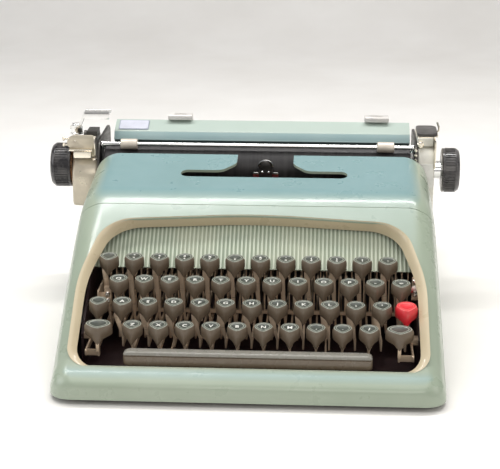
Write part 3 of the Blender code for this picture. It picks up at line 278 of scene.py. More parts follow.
def foot_rubber():
    finish, tree, shader, place = new_finish("foot_rubber", 0.8)
    colour = blend(tree, cloudy(tree, place, 300.0), (0.012, 0.012, 0.012, 1), (0.05, 0.048, 0.045, 1))
    dress(tree, shader, colour)
    roughen(tree, shader, cloudy(tree, place, 900.0), 0.4, 0.0003)
    return finish


def rubber_feet():
    bm = bmesh.new()
    cup = [
        (0.0, -FOOT_HEIGHT + 0.0011),
        (0.0034, -FOOT_HEIGHT + 0.0011),
        (0.0034, -FOOT_HEIGHT + 0.0001),
        (FOOT_RADIUS - 0.0012, -FOOT_HEIGHT + 0.00005),
        (FOOT_RADIUS - 0.0003, -FOOT_HEIGHT + 0.0005),
        (FOOT_RADIUS, -FOOT_HEIGHT + 0.0014),
        (FOOT_RADIUS - 0.0006, -0.0001),
        (0.0, -0.0001),
    ]
    inner = CASE_HALF - 0.0035 - 0.026
    for x in (-inner - 0.0003, inner + 0.0003):
        for y in (FOOT_INSET + 0.0033, CASE_DEPTH - FOOT_INSET - 0.0033):
            turned(bm, cup, Matrix.Translation((x, y, 0)))
    fit("rubber_feet", bm, "base", [foot_rubber()])


enamel = black_enamel()
paint_node("base_frame", enamel)
rubber_feet()

# --- Casing ---
# One pressed aluminium shell, sprayed and stoved in a pale blue-green. Its front slopes down to
# a lip under the space bar; the keyboard opening's edge is turned in as a bevelled reveal.
WALL = 0.0020
SIDE_LEAN = 0.040
PLAN_CORNER = 0.016
SHOULDER_RADIUS = 0.022
LIP = (0.0095, 0.0125, 0.0195)
SLOPE_END = (0.134, 0.1085)
SLOPE_TURN = math.radians(10)
DECK_TURN = math.radians(23.2)
DECK_BEND_RADIUS = 0.045
DECK_END_Y = 0.2180
REAR_TOP_Z = 0.070
REAR_CORNER = 0.018
COVER_FRONT_Y = 0.1310
COVER_SIDE_Z = 0.092
COVER_END_Y = 0.2155
COVER_HEEL = 0.008
HINGE_Y = 0.2105
SEAM_LEAN = 0.0045
SEAM = 0.0004
REVEAL_STEPS = 7
REVEAL_DEPTHS = (0.0030, 0.0085)
WELD = 0.000005
OPENING_SIDE = 0.0125
OPENING_TOP = 0.0135
WELL_END_Y = 0.306
WELL_COLUMN = 12
slope_angle = math.atan2(SLOPE_END[1] - LIP[2], SLOPE_END[0] - LIP[1])
slope_length = math.hypot(SLOPE_END[1] - LIP[2], SLOPE_END[0] - LIP[1])
deck_angle = slope_angle - SLOPE_TURN / 2 - DECK_TURN


def case_profile(slope_steps=34, bend_steps=14, deck_steps=22):
    """(y, z) along the middle: lip, slope, bend, deck, step down and rear, closely spaced."""
    lip_bottom, lip_depth, lip_top = LIP
    points = []
    for step in range(6):
        share = step / 6
        points.append((lip_depth * share**1.5, lip_bottom + (lip_top - lip_bottom) * share ** 0.8))
    radius = slope_length / (2 * math.sin(SLOPE_TURN / 2))
    start = slope_angle + SLOPE_TURN / 2
    for step in range(slope_steps + 1):
        angle = start - SLOPE_TURN * step / slope_steps
        y = lip_depth + radius * (math.sin(start) - math.sin(angle))
        points.append((y, lip_top + radius * (math.cos(angle) - math.cos(start))))
    start = slope_angle - SLOPE_TURN / 2
    bend_y, bend_z = SLOPE_END
    for step in range(1, bend_steps + 1):
        angle = start - DECK_TURN * step / bend_steps
        y = bend_y + DECK_BEND_RADIUS * (math.sin(start) - math.sin(angle))
        points.append((y, bend_z + DECK_BEND_RADIUS * (math.cos(angle) - math.cos(start))))
    bend_y, bend_z = points[-1]
    for step in range(1, deck_steps + 1):
        y = bend_y + (DECK_END_Y - bend_y) * step / deck_steps
        points.append((y, bend_z + (y - bend_y) * math.tan(deck_angle)))
    points.append((DECK_END_Y + WALL * 0.7, REAR_TOP_Z + SHOULDER_RADIUS))
    points.append((DECK_END_Y + WALL * 1.2, REAR_TOP_Z))
    flat_end = CASE_DEPTH - REAR_CORNER
    for step in range(1, 12):
        points.append(
            (DECK_END_Y + WALL * 1.2 + (flat_end - DECK_END_Y - WALL * 1.2) * step / 12, REAR_TOP_Z)
        )
    for step in range(13):
        angle = math.pi / 2 * step / 12
        points.append(
            (flat_end + REAR_CORNER * math.sin(angle), REAR_TOP_Z - REAR_CORNER * (1 - math.cos(angle)))
        )
    return points


profile = case_profile()


def skin_z(y):
    """Height of the casing's outside along its middle."""
    for (y0, z0), (y1, z1) in zip(profile, profile[1:]):
        if y0 <= y <= y1 and y1 > y0:
            return z0 + (z1 - z0) * (y - y0) / (y1 - y0)
    return profile[0][1]


def half_width(y):
    near_end = min(y, CASE_DEPTH - y)
    if near_end >= PLAN_CORNER:
        return CASE_HALF
    return CASE_HALF - PLAN_CORNER + math.sqrt(PLAN_CORNER**2 - (PLAN_CORNER - near_end) ** 2)


def skin_section(y, z, columns=12, shoulder_steps=12, side_steps=4):
    """Points across the casing at one station, from its left foot over to its right foot."""
    radius = min(SHOULDER_RADIUS, z * 0.75)
    foot = half_width(y)
    top = foot - SIDE_LEAN * z - radius
    half = []
    for step in range(side_steps + 1):
        height = (z - radius) * step / side_steps
        half.append((foot - SIDE_LEAN * height, height))
    for step in range(1, shoulder_steps + 1):
        angle = math.pi / 2 * step / shoulder_steps
        half.append((top + radius * math.cos(angle), z - radius * (1 - math.sin(angle))))
    for step in range(1, columns):
        half.append((top * (1 - step / columns), z))
    return [(-x, height) for x, height in half] + [(0.0, z)] + half[::-1]


def cover_outline(gap, end_y):
    """The space, seen from the side, that belongs to the ribbon cover."""
    high = SLOPE_END[1] * 1.5
    return [
        (COVER_FRONT_Y - SEAM_LEAN - gap, high),
        (COVER_FRONT_Y - gap, SLOPE_END[1] - SEAM_LEAN),
        (COVER_FRONT_Y + SEAM_LEAN - gap, COVER_SIDE_Z - gap),
        (HINGE_Y - COVER_HEEL / 2, COVER_SIDE_Z - gap),
        (COVER_END_Y, COVER_SIDE_Z + COVER_HEEL - gap),
        (end_y, COVER_SIDE_Z + COVER_HEEL - gap),
        (end_y, high),
    ]


def within(outline, y, z):
    """Whether a point seen from the side lies inside an outline."""
    crossings = 0
    for (y0, z0), (y1, z1) in zip(outline, outline[1:] + outline[:1]):
        if (z0 > z) != (z1 > z) and y < y0 + (y1 - y0) * (z - z0) / (z1 - z0):
            crossings += 1
    return crossings % 2 == 1


def shear_sheet(bm, outline, keep_inside):
    """Cuts a sheet along an outline seen from the side and drops one side of it."""
    for (y0, z0), (y1, z1) in zip(outline, outline[1:] + outline[:1]):
        across = (0, z1 - z0, y0 - y1)
        everything = bm.verts[:] + bm.edges[:] + bm.faces[:]
        bmesh.ops.bisect_plane(bm, geom=everything, dist=0.000002, plane_co=(0, y0, z0), plane_no=across)
    middles = {face: face.calc_center_median() for face in bm.faces}
    dropped = [face for face, c in middles.items() if within(outline, c.y, c.z) != keep_inside]
    bmesh.ops.delete(bm, geom=dropped, context="FACES")


def skin_sheet(name, outline, keep_inside):
    """The shell's outer face sheared along the cover's seam, and its wall given inwards."""
    rows = [(y, skin_section(y, z)) for y, z in profile]
    front, rear = rows[0], rows[-1]
    rows.insert(0, (front[0], [(x, height * 0.5) for x, height in front[1]]))
    rows.insert(0, (front[0], [(x, 0.0) for x, _ in front[1]]))
    for share in (0.75, 0.5, 0.25, 0.0):
        rows.append((rear[0], [(x, height * share) for x, height in rear[1]]))
    bm = bmesh.new()
    grid = [[bm.verts.new((x, y, z)) for x, z in section] for y, section in rows]
    for low, high in zip(grid, grid[1:]):
        in_well = low[0].co.y > DECK_END_Y - 0.0001 and high[0].co.y < WELL_END_Y
        for i in range(len(low) - 1):
            if in_well and WELL_COLUMN <= i < len(low) - 1 - WELL_COLUMN:
                continue
            bm.faces.new((low[i], low[i + 1], high[i + 1], high[i]))
    bmesh.ops.remove_doubles(bm, verts=bm.verts, dist=0.00001)
    bmesh.ops.dissolve_degenerate(bm, edges=bm.edges, dist=0.00001)
    shear_sheet(bm, outline, keep_inside)
    bmesh.ops.delete(bm, geom=[v for v in bm.verts if not v.link_faces], context="VERTS")
    mesh = bpy.data.meshes.new(name)
    bm.to_mesh(mesh)
    bm.free()
    piece = add(name, mesh)
    shell = piece.modifiers.new("wall", "SOLIDIFY")
    shell.thickness = WALL
    shell.offset = -1
    shell.use_even_offset = True
    return piece


def rounded(corners):
    """Points round an outline whose corners (x, y, radius, steps) become arcs."""
    points = []
    for index, (x, y, radius, steps) in enumerate(corners):
        here = Vector((x, y))
        before = (Vector(corners[index - 1][:2]) - here).normalized()
        after = (Vector(corners[(index + 1) % len(corners)][:2]) - here).normalized()
        if radius == 0:
            points.append((x, y))
            continue
        half = before.angle(after) / 2
        centre = here + (before + after).normalized() * (radius / math.sin(half))
        start = here + before * (radius / math.tan(half)) - centre
        end = here + after * (radius / math.tan(half)) - centre
        turn = start.angle_signed(end)
        for step in range(steps + 1):
            spot = centre + Matrix.Rotation(-turn * step / steps, 2) @ start
            points.append((spot.x, spot.y))
    return points


def circle(x, y, radius, sides=16):
    turns = [2 * math.pi * i / sides for i in range(sides)]
    return [(x + radius * math.cos(a), y + radius * math.sin(a)) for a in turns]


def finished(piece):
    """The piece's mesh with its modifiers applied; the piece and its cutters are removed."""
    graph = bpy.context.evaluated_depsgraph_get()
    mesh = bpy.data.meshes.new_from_object(piece.evaluated_get(graph))
    for modifier in piece.modifiers:
        if modifier.type == "BOOLEAN":
            bpy.data.objects.remove(modifier.object)
    bpy.data.objects.remove(piece)
    return mesh


def solid_of(curve, material=0):
    """The closed shape that a curve's outline or wire makes; the curve is removed."""
    mesh = finished(add(curve.name, curve))
    bpy.data.curves.remove(curve)
    bm = bmesh.new()
    bm.from_mesh(mesh)
    bpy.data.meshes.remove(mesh)
    bmesh.ops.remove_doubles(bm, verts=bm.verts, dist=WELD)
    bmesh.ops.recalc_face_normals(bm, faces=bm.faces)
    for face in bm.faces:
        face.material_index = material
    return bm


def plate(outlines, thickness, matrix=Matrix.Identity(4), bevel=0.0, material=0):
    """A flat piece cut to its outlines (outer edge, then holes), centred on its plane."""
    curve = bpy.data.curves.new("plate", "CURVE")
    curve.dimensions = "2D"
    curve.fill_mode = "BOTH"
    curve.extrude = thickness / 2 - bevel
    curve.bevel_depth = bevel
    curve.bevel_resolution = 1
    curve.offset = -bevel
    for outline in outlines:
        spline = curve.splines.new("POLY")
        spline.points.add(len(outline) - 1)
        for point, (x, y) in zip(spline.points, outline):
            point.co = (x, y, 0, 1)
        spline.use_cyclic_u = True
    bm = solid_of(curve, material)
    bmesh.ops.transform(bm, matrix=matrix, verts=bm.verts)
    return bm


def join(target, *others):
    """Adds these bmeshes to the first and frees them."""
    for other in others:
        mesh = bpy.data.meshes.new("part")
        other.to_mesh(mesh)
        other.free()
        target.from_mesh(mesh)
        bpy.data.meshes.remove(mesh)
    return target


def side_plane(x):
    """Stands an outline drawn in (y, z) up at x."""
    return Matrix(((0, 0, 1, x), (1, 0, 0, 0), (0, 1, 0, 0), (0, 0, 0, 1)))


def cross_plane(y):
    """Stands an outline drawn in (x, z) up at y, facing the typist."""
    return Matrix(((1, 0, 0, 0), (0, 0, -1, y), (0, 1, 0, 0), (0, 0, 0, 1)))


def along_x(start_x, y, z, flip=1):
    """Turns a shape's third axis along x, from a point; flip -1 runs it to the left."""
    return Matrix.Translation((start_x, y, z)) @ Matrix.Rotation(flip * math.pi / 2, 4, "Y")


def along_y(x, y, z, flip=1):
    """Turns a shape's third axis towards the typist, from a point; flip -1 runs it to the rear."""
    return Matrix.Translation((x, y, z)) @ Matrix.Rotation(flip * math.pi / 2, 4, "X")


def cut(piece, bm):
    """Cuts this shape out of a piece with an exact Boolean."""
    mesh = bpy.data.meshes.new("cutter")
    bm.to_mesh(mesh)
    bm.free()
    modifier = piece.modifiers.new("cut", "BOOLEAN")
    modifier.operation = "DIFFERENCE"
    modifier.solver = "EXACT"
    modifier.object = add("cutter", mesh)


def box(low, high, bevel=0.0, material=0):
    """A block between two corners, its edges rounded off by the bevel."""
    bm = bmesh.new()
    size = Vector(high) - Vector(low)
    place = Matrix.Translation((Vector(high) + Vector(low)) / 2) @ Matrix.Diagonal((*size, 1))
    bmesh.ops.create_cube(bm, size=1, matrix=place)
    if bevel:
        bmesh.ops.bevel(bm, geom=bm.edges[:], offset=bevel, segments=2, profile=0.7, affect="EDGES")
    for face in bm.faces:
        face.material_index = material
    return bm


def wire(points, radius):
    """A round wire bent through these points."""
    curve = bpy.data.curves.new("wire", "CURVE")
    curve.dimensions = "3D"
    curve.bevel_depth = radius
    curve.bevel_resolution = 3
    curve.use_fill_caps = True
    curve.resolution_u = 6
    spline = curve.splines.new("BEZIER")
    spline.bezier_points.add(len(points) - 1)
    for point, place in zip(spline.bezier_points, points):
        point.co = place
        point.handle_left_type = point.handle_right_type = "AUTO"
    return solid_of(curve)


def slope_plane(depth=0.0):
    """Lays an outline on the front slope, its second axis running up it, sunk by a depth."""
    matrix = Matrix.Identity(4)
    up = Vector((0, math.cos(slope_angle), math.sin(slope_angle)))
    out = Vector((0, -math.sin(slope_angle), math.cos(slope_angle)))
    matrix.col[1] = (*up, 0)
    matrix.col[2] = (*out, 0)
    matrix.col[3] = (*(Vector((0, LIP[1], LIP[2])) - out * depth), 1)
    return matrix


def opening_outline(side_inset=0.0, top_inset=0.0, bottom_inset=0.0):
    """The keyboard opening: straight sides, round corners, and a low arch along its top."""
    wide = CASE_HALF - OPENING_SIDE - side_inset
    top = slope_length - OPENING_TOP - top_inset
    bottom = 0.002 + bottom_inset
    corners = [
        (-wide, bottom, 0.015, 12),
        (wide, bottom, 0.015, 12),
        (wide - 0.0015, top * 0.55, 0.12, 8),
        (wide - 0.0170, top - 0.0075, 0.030, 14),
        (0.0, top, 0.5, 24),
        (-wide + 0.0170, top - 0.0075, 0.030, 14),
        (-wide + 0.0015, top * 0.55, 0.12, 8),
    ]
    return rounded(corners)


def reveal():
    """The turned-in edge round the opening, from the skin's face down to its inner rim."""
    outer = opening_outline(-0.0008, -0.0008, -0.0006)
    sides = opening_outline(0.0058, 0.0008, 0.0004)
    top_s = slope_length - OPENING_TOP
    plane = slope_plane()
    down = plane.col[2].to_3d()
    bm = bmesh.new()
    rings = []
    for step in range(REVEAL_STEPS + 1):
        share = step / REVEAL_STEPS
        ring = []
        for (x0, s0), (x1, s1) in zip(outer, sides):
            rise = max(0.0, min(1.0, s0 / top_s))
            depth = REVEAL_DEPTHS[0] + REVEAL_DEPTHS[1] * rise**3
            x = x0 + (x1 - x0) * share ** 0.8
            s = s0 + (s1 - s0) * share ** 0.8
            spot = plane @ Vector((x, s, 0))
            outside = skin_z(plane.col[3].y + s0 * math.cos(slope_angle))
            lift = (outside - (plane @ Vector((x0, s0, 0))).z) / math.cos(slope_angle)
            sunk = lift + 0.0001
            if share:
                sunk -= depth * (1 - math.cos(share * math.pi / 2)) ** 0.75
            ring.append(bm.verts.new(spot + down * sunk))
        rings.append(ring)
    for high, low in zip(rings, rings[1:]):
        for i in range(len(high)):
            j = (i + 1) % len(high)
            bm.faces.new((high[i], high[j], low[j], low[i]))
    bmesh.ops.recalc_face_normals(bm, faces=bm.faces)
    mesh = bpy.data.meshes.new("reveal")
    bm.to_mesh(mesh)
    bm.free()
    return mesh


def mark_edges(mesh):
    """Stores how worn each point is: one on a sharp edge, nothing elsewhere."""
    bm = bmesh.new()
    bm.from_mesh(mesh)
    edges = [e for e in bm.edges if len(e.link_faces) == 2 and e.calc_face_angle() > math.radians(30)]
    sharp = {v.index for e in edges for v in e.verts}
    bm.free()
    worn = mesh.attributes.new("worn", "FLOAT", "POINT")
    worn.data.foreach_set("value", [1.0 if i in sharp else 0.0 for i in range(len(mesh.vertices))])


def case_paint(name, front, deck):
    """Stoved enamel with painted reflection: steep faces tinted warmer green and flat faces bluer by how they
    face their surroundings; chipped and rubbed at its edges.
    """
    finish, tree, shader, place = new_finish(name, 0.3, coat_weight=0.35, coat_roughness=0.12)
    normal = put(tree, "ShaderNodeTexCoord").outputs["Normal"]
    split = put(tree, "ShaderNodeSeparateXYZ", {0: normal})
    # Painted reflection: how far a face looks upwards picks between the steep-face and flat-face tints.
    painted_reflection_share = ramp(tree, split.outputs["Z"], 0.80, 0.97)
    colour = blend(tree, painted_reflection_share, (*front, 1), (*deck, 1))
    clouds = ramp(tree, cloudy(tree, place, 14.0, 4.0), 0.3, 0.7, 0.0, 0.30)
    colour = blend(tree, clouds, colour, (0.60, 0.68, 0.60, 1), "MULTIPLY")
    specks = ramp(tree, cloudy(tree, place, 900.0, 2.0), 0.66, 0.74, 0.0, 0.2)
    colour = blend(tree, specks, colour, (0.30, 0.36, 0.32, 1))
    worn = put(tree, "ShaderNodeAttribute", attribute_name="worn").outputs["Fac"]
    worn = put(tree, "ShaderNodeMath", {0: worn, 1: 8.0}, operation="POWER").outputs[0]
    ragged = put(
        tree, "ShaderNodeMath", {0: worn, 1: cloudy(tree, place, 260.0, 5.0, 0.7)}, operation="MULTIPLY"
    )
    chips = ramp(tree, ragged.outputs[0], 0.66, 0.70)
    colour = blend(tree, chips, colour, (0.16, 0.15, 0.13, 1))
    rubbed = ramp(tree, ragged.outputs[0], 0.58, 0.70, 0.0, 0.35)
    colour = blend(tree, rubbed, colour, (0.78, 0.80, 0.72, 1))
    gloss = ramp(tree, cloudy(tree, place, 60.0, 4.0), 0.3, 0.7, 0.24, 0.40)
    dress(tree, shader, colour, gloss)
    roughen(tree, shader, cloudy(tree, place, 700.0, 2.0), 0.12, 0.0002)
    return finish


def make_casing(paint):
    casing = skin_sheet("body_casing", cover_outline(SEAM, DECK_END_Y + 0.010), False)
    cut(casing, plate([opening_outline()], 0.060, slope_plane()))
    mesh = finished(casing)
    mark_edges(mesh)
    return fit("casing_shell", mesh, "base", [paint], ["body_casing"])


# One green paint; the warmer front tint and the bluer deck tint are painted reflection.
casing_paint = case_paint("casing_paint", (0.36, 0.42, 0.33), (0.20, 0.335, 0.350))
make_casing(casing_paint)
# The reveal's cream is painted reflection of warm surroundings; the reveal itself wears the casing's green
# paint.
reveal_painted_reflection = case_paint("reveal_painted_reflection", (0.60, 0.50, 0.34), (0.64, 0.54, 0.38))
fit("opening_reveal", reveal(), "base", [reveal_painted_reflection])

# --- Ribbon cover ---
# A lighter pressing of the same sheet, hinged at the rear and lifted to change the ribbon. Its slot
# and notch let the typebars up to the platen.
TYPE_X = 0.0045
SLOT_LENGTH = 0.133
SLOT_FRONT_Y = 0.1710
SLOT_WIDTH = 0.0130
NOTCH_FRONT_WIDTH = 0.068
NOTCH_REAR_WIDTH = 0.046
NOTCH_DEPTH = 0.014
HINGE_DROP = 0.0080
HINGE_EAR_INSET = 0.0225
HINGE_EAR_THICKNESS = 0.0025
HINGE_PIN_RADIUS = 0.0015
HINGE_BRACKET_HEIGHT = 0.004
LUG_THICKNESS = 0.0024
LUG_DEPTH = 0.006


def cover_cutout():
    half = SLOT_LENGTH / 2
    rear = SLOT_FRONT_Y + SLOT_WIDTH
    beyond = DECK_END_Y + 0.004
    end = SLOT_WIDTH * 0.45
    corners = [
        (TYPE_X - half, SLOT_FRONT_Y, end, 8),
        (TYPE_X + half, SLOT_FRONT_Y, end, 8),
        (TYPE_X + half, rear, end, 8),
        (TYPE_X + NOTCH_FRONT_WIDTH / 2, rear, 0.010, 8),
        (TYPE_X + NOTCH_REAR_WIDTH / 2, rear + NOTCH_DEPTH, 0.010, 8),
        (TYPE_X + NOTCH_REAR_WIDTH / 2, beyond, 0, 1),
        (TYPE_X - NOTCH_REAR_WIDTH / 2, beyond, 0, 1),
        (TYPE_X - NOTCH_REAR_WIDTH / 2, rear + NOTCH_DEPTH, 0.010, 8),
        (TYPE_X - NOTCH_FRONT_WIDTH / 2, rear, 0.010, 8),
        (TYPE_X - half, rear, end, 8),
    ]
    return plate([rounded(corners)], 0.060, Matrix.Translation((0, 0, skin_z(HINGE_Y))))


def make_cover(paint):
    cover = skin_sheet("ribbon_cover", cover_outline(0.0, COVER_END_Y), True)
    cut(cover, cover_cutout())
    mesh = finished(cover)
    mark_edges(mesh)
    return fit("cover_shell", mesh, "ribbon_cover", [paint], ["ribbon_cover"])


def make_hinges(metal):
    """The cover's two lugs with their pins, and the brackets inside the casing that hold them."""
    hinge_z = skin_z(HINGE_Y) - HINGE_DROP
    ear_x = CASE_HALF - HINGE_EAR_INSET
    lugs = bmesh.new()
    brackets = bmesh.new()
    low_z = COVER_SIDE_Z - 0.009
    wall_x = CASE_HALF - SIDE_LEAN * low_z - WALL
    ear_top = hinge_z + HINGE_PIN_RADIUS + 0.0013
    for side in (-1, 1):
        lug_x = side * (ear_x - 0.0015)
        thick, deep = LUG_THICKNESS / 2, LUG_DEPTH / 2
        low = (lug_x - thick, HINGE_Y - deep, hinge_z - deep)
        high = (lug_x + thick, HINGE_Y + deep, skin_z(HINGE_Y) - WALL / 2)
        join(lugs, box(low, high, 0.0003))
        pin = [(0.0, 0.0), (HINGE_PIN_RADIUS, 0.0), (HINGE_PIN_RADIUS, 0.0048), (0.0, 0.0052)]
        turned(lugs, pin, along_x(lug_x, HINGE_Y, hinge_z, side), 16)
        outline = [
            (side * ear_x, low_z),
            (side * wall_x, low_z),
            (side * wall_x, low_z + HINGE_BRACKET_HEIGHT),
            (side * (ear_x + HINGE_EAR_THICKNESS), low_z + HINGE_BRACKET_HEIGHT),
            (side * (ear_x + HINGE_EAR_THICKNESS), ear_top),
            (side * ear_x, ear_top),
        ]
        join(brackets, plate([outline], 0.006, cross_plane(HINGE_Y), 0.0002))
    fit("cover_hinge_lugs", lugs, "ribbon_cover", [metal])
    fit("cover_hinge_brackets", brackets, "base", [metal])


make_cover(casing_paint)

# --- Ribbed panel ---
# A sheet behind the number row, pressed into fine upright ribs, spot-welded inside the casing and
# sprayed a lighter green; it hides the levers and stops dropped erasings.
PANEL_BOTTOM = (0.1000, 0.0650)
PANEL_TOP = (0.1345, 0.0965)
RIB_PITCH = 0.0031


def grow(name, inputs, build):
    """Runs a Geometry Nodes tree on an empty mesh and returns the plain mesh it makes."""
    tree = bpy.data.node_groups.new(name, "GeometryNodeTree")
    tree.interface.new_socket("Geometry", in_out="OUTPUT", socket_type="NodeSocketGeometry")
    kinds = {int: "NodeSocketInt", float: "NodeSocketFloat", tuple: "NodeSocketVector"}
    identifiers = {}
    for label, value in inputs.items():
        kind = kinds.get(type(value), "NodeSocketMaterial")
        socket = tree.interface.new_socket(label, in_out="INPUT", socket_type=kind)
        identifiers[label] = socket.identifier
    given = tree.nodes.new("NodeGroupInput").outputs
    shape = build(tree, given)
    whole = put(tree, "GeometryNodeRealizeInstances", {0: shape}).outputs[0]
    coated = put(tree, "GeometryNodeSetMaterial", {"Geometry": whole, "Material": given["Finish"]})
    out = tree.nodes.new("NodeGroupOutput")
    tree.links.new(coated.outputs[0], out.inputs[0])
    holder = add(name, bpy.data.meshes.new(name))
    modifier = holder.modifiers.new(name, "NODES")
    modifier.node_group = tree
    for label, value in inputs.items():
        modifier[identifiers[label]] = value
    return finished(holder)


def line_of(tree, given, shape, turn=(0.0, 0.0, 0.0)):
    """Copies of a shape along a straight line: Count of them, from Start, by Step."""
    settings = {"Count": given["Count"], "Start Location": given["Start"], "Offset": given["Step"]}
    line = put(tree, "GeometryNodeMeshLine", settings, mode="OFFSET").outputs[0]
    placed = put(
        tree, "GeometryNodeInstanceOnPoints", {"Points": line, "Instance": shape, "Rotation": turn}
    )
    return placed.outputs[0]


def ribs_tree(tree, given):
    """Half-round ribs, each a short round bar flattened into the sheet."""
    bar = put(
        tree,
        "GeometryNodeMeshCylinder",
        {"Vertices": 10, "Side Segments": 1, "Radius": given["Radius"], "Depth": given["Length"]},
    ).outputs[0]
    flat = put(tree, "GeometryNodeTransform", {"Geometry": bar, "Scale": (1.0, 0.75, 1.0)}).outputs[0]
    return line_of(tree, given, flat, given["Lean"])


def panel_green():
    """Light green paint with painted shade darkening the hollows between the ribs, and cloudy patches of
    dust.
    """
    finish, tree, shader, place = new_finish("panel_paint", 0.42)
    split = put(tree, "ShaderNodeSeparateXYZ", {0: place})
    wave = put(
        tree, "ShaderNodeMath", {0: split.outputs["X"], 1: 2 * math.pi / RIB_PITCH}, operation="MULTIPLY"
    )
    rib_painted_shading = put(tree, "ShaderNodeMath", {0: wave.outputs[0]}, operation="COSINE").outputs[0]
    share = ramp(tree, rib_painted_shading, -0.6, 0.7)
    # Painted shade: darker in the hollows between the ribs, paler on their crests.
    colour = blend(tree, share, (0.24, 0.29, 0.21, 1), (0.56, 0.62, 0.50, 1))
    clouds = ramp(tree, cloudy(tree, place, 30.0, 4.0), 0.35, 0.7, 0.0, 0.3)
    colour = blend(tree, clouds, colour, (0.62, 0.60, 0.45, 1))
    dress(tree, shader, colour)
    roughen(tree, shader, cloudy(tree, place, 800.0), 0.1, 0.0002)
    return finish


def make_panel():
    rise = Vector((PANEL_TOP[0] - PANEL_BOTTOM[0], PANEL_TOP[1] - PANEL_BOTTOM[1]))
    lean = -math.atan2(rise.x, rise.y)
    count = 2 * round((CASE_HALF - 0.0160) / RIB_PITCH) + 1
    middle = ((PANEL_TOP[0] + PANEL_BOTTOM[0]) / 2, (PANEL_TOP[1] + PANEL_BOTTOM[1]) / 2)
    inputs = {
        "Count": count,
        "Start": (-RIB_PITCH * (count - 1) / 2, *middle),
        "Step": (RIB_PITCH, 0.0, 0.0),
        "Lean": (lean, 0.0, 0.0),
        "Radius": RIB_PITCH * 0.40,
        "Length": rise.length,
        "Finish": panel_green(),
    }
    ribs = bmesh.new()
    ribs.from_mesh(grow("ribs", inputs, ribs_tree))
    reach = RIB_PITCH * (count - 1) / 2 + 0.002
    sheet = plate(
        [[(-reach, 0), (reach, 0), (reach, rise.length), (-reach, rise.length)]],
        0.0010,
        Matrix.Translation((0, *PANEL_BOTTOM)) @ Matrix.Rotation(math.pi / 2 + lean, 4, "X"),
    )
    fit("ribbed_panel", join(ribs, sheet), "base", [inputs["Finish"]], sharp=50)


make_panel()

# --- Keys ---
# Moulded caps, dark green with a paler rim and a moulded white legend, each pushed on a folded
# steel lever; all the levers hang side by side on one fulcrum rod under the rear of the casing.
KEY_PITCH = 0.01905
ROWS = (
    ("lower", 1.25, "ZXCVBNM,./"),
    ("home", 0.75, "ASDFGHJKL;'"),
    ("upper", 0.5, "QWERTYUIOP-="),
    ("number", 0.0, " 234567890!:"),
)
SHIFTED = {"2": '"', "3": "+", "4": "$", "5": "%", "6": "_", "7": "&", "8": "'", "9": "(", "0": ")"}
NUMBER_ROW_CENTRE_X = -0.0036
FRONT_ROW = (0.037, 0.044)
ROW_STEP = (0.0177, 0.0112)
CAP_RADIUS = 0.0075
LOCK_RADIUS = 0.0072
TAB_RADIUS = 0.0083
CAP_SKIRT = 0.0080
CAP_PROW = 0.0034
SKIRT_SLOPE = 0.0018
PROW_SHARE = 0.42
CAP_TILT = math.radians(6)
CAP_SIDES = 32
CAP_POINT = 1.45
CAP_NOSE = 0.12
CAP_RINGS = (
    (0.62, 0.0002, 1.0),
    (0.68, 0.0002, 1.0),
    (0.70, -0.0001, 0.0),
    (0.78, -0.0001, 0.0),
    (0.80, 0.0001, 1.0),
    (0.87, 0.0, 1.0),
    (0.90, -0.0005, 0.2),
    (0.99, -0.0020, 0.0),
    (1.00, -0.0045, 0.0),
)
DISH = 0.00055
DISH_SHARE = 0.60
LEGEND_SIZES = (0.0052, 0.0034)
LEGEND_SPREAD = 0.0036
LEGEND_LIFT = 0.00012
LEVER_THICKNESS = 0.0014
LEVER_Z = 0.0215
LEVER_HEIGHT = 0.0048
STEM_WIDTH = 0.0044
FULCRUM_Y = 0.262
EYE_RADIUS = 0.0024
EYE_END = 1.7
SIDE_KEY_PITCHES = 0.924
COMB_Y = 0.1120
COMB_LOW = 0.0270
COMB_HIGH = 0.0620
COMB_STEP = KEY_PITCH / 4
COMB_TINE = (0.0009, 0.0030)
COMB_BAR = (-0.0012, 0.0022)
BRACKET_FOLD = 0.0062
BRACKET_SIDES = ((-1, -0.54, -0.0115), (1, 11.58, 0.0))
BRACKET_ARMS = (0.0044, 0.0115)
BRACKET_ARM_HEIGHTS = (0.0240, 0.0290)
WASHER = [(0.0, 0.0), (0.0034, 0.0), (0.0034, 0.0008), (0.0016, 0.0010), (0.0015, 0.0002), (0.0, 0.0002)]
BRACKET_SCREW = [(0.0, 0.0), (0.0022, 0.0), (0.0022, 0.0006), (0.0014, 0.0014), (0.0, 0.0016)]
STEM_LEAN = {"number": -0.0030, "home": -0.0038, "upper": -0.0012, "lower": 0.0}
number_row_start = NUMBER_ROW_CENTRE_X - KEY_PITCH * (len(ROWS[-1][2]) - 1) / 2
row_at = {
    name: (
        number_row_start + KEY_PITCH * stagger,
        FRONT_ROW[0] + ROW_STEP[0] * i,
        FRONT_ROW[1] + ROW_STEP[1] * i,
    )
    for i, (name, stagger, _) in enumerate(ROWS)
}


def cap_top(name, dark, rim, gloss):
    """Moulded plastic: dark in the dish, paler in ragged patches on its raised rim rings."""
    finish, tree, shader, place = new_finish(name, gloss, coat_weight=0.2)
    rimmed = put(tree, "ShaderNodeAttribute", attribute_name="rim").outputs["Fac"]
    ragged = ramp(tree, cloudy(tree, place, 500.0, 3.0), 0.35, 0.65, 0.55, 1.0)
    share = put(tree, "ShaderNodeMath", {0: rimmed, 1: ragged}, operation="MULTIPLY").outputs[0]
    colour = blend(tree, share, (*dark, 1), (*rim, 1))
    dust = ramp(tree, cloudy(tree, place, 160.0, 4.0), 0.5, 0.8, 0.0, 0.3)
    colour = blend(tree, dust, colour, (0.22, 0.21, 0.17, 1))
    dress(tree, shader, colour, ramp(tree, cloudy(tree, place, 90.0), 0.3, 0.7, gloss, gloss + 0.2))
    roughen(tree, shader, cloudy(tree, place, 1500.0), 0.1, 0.0001)
    return finish


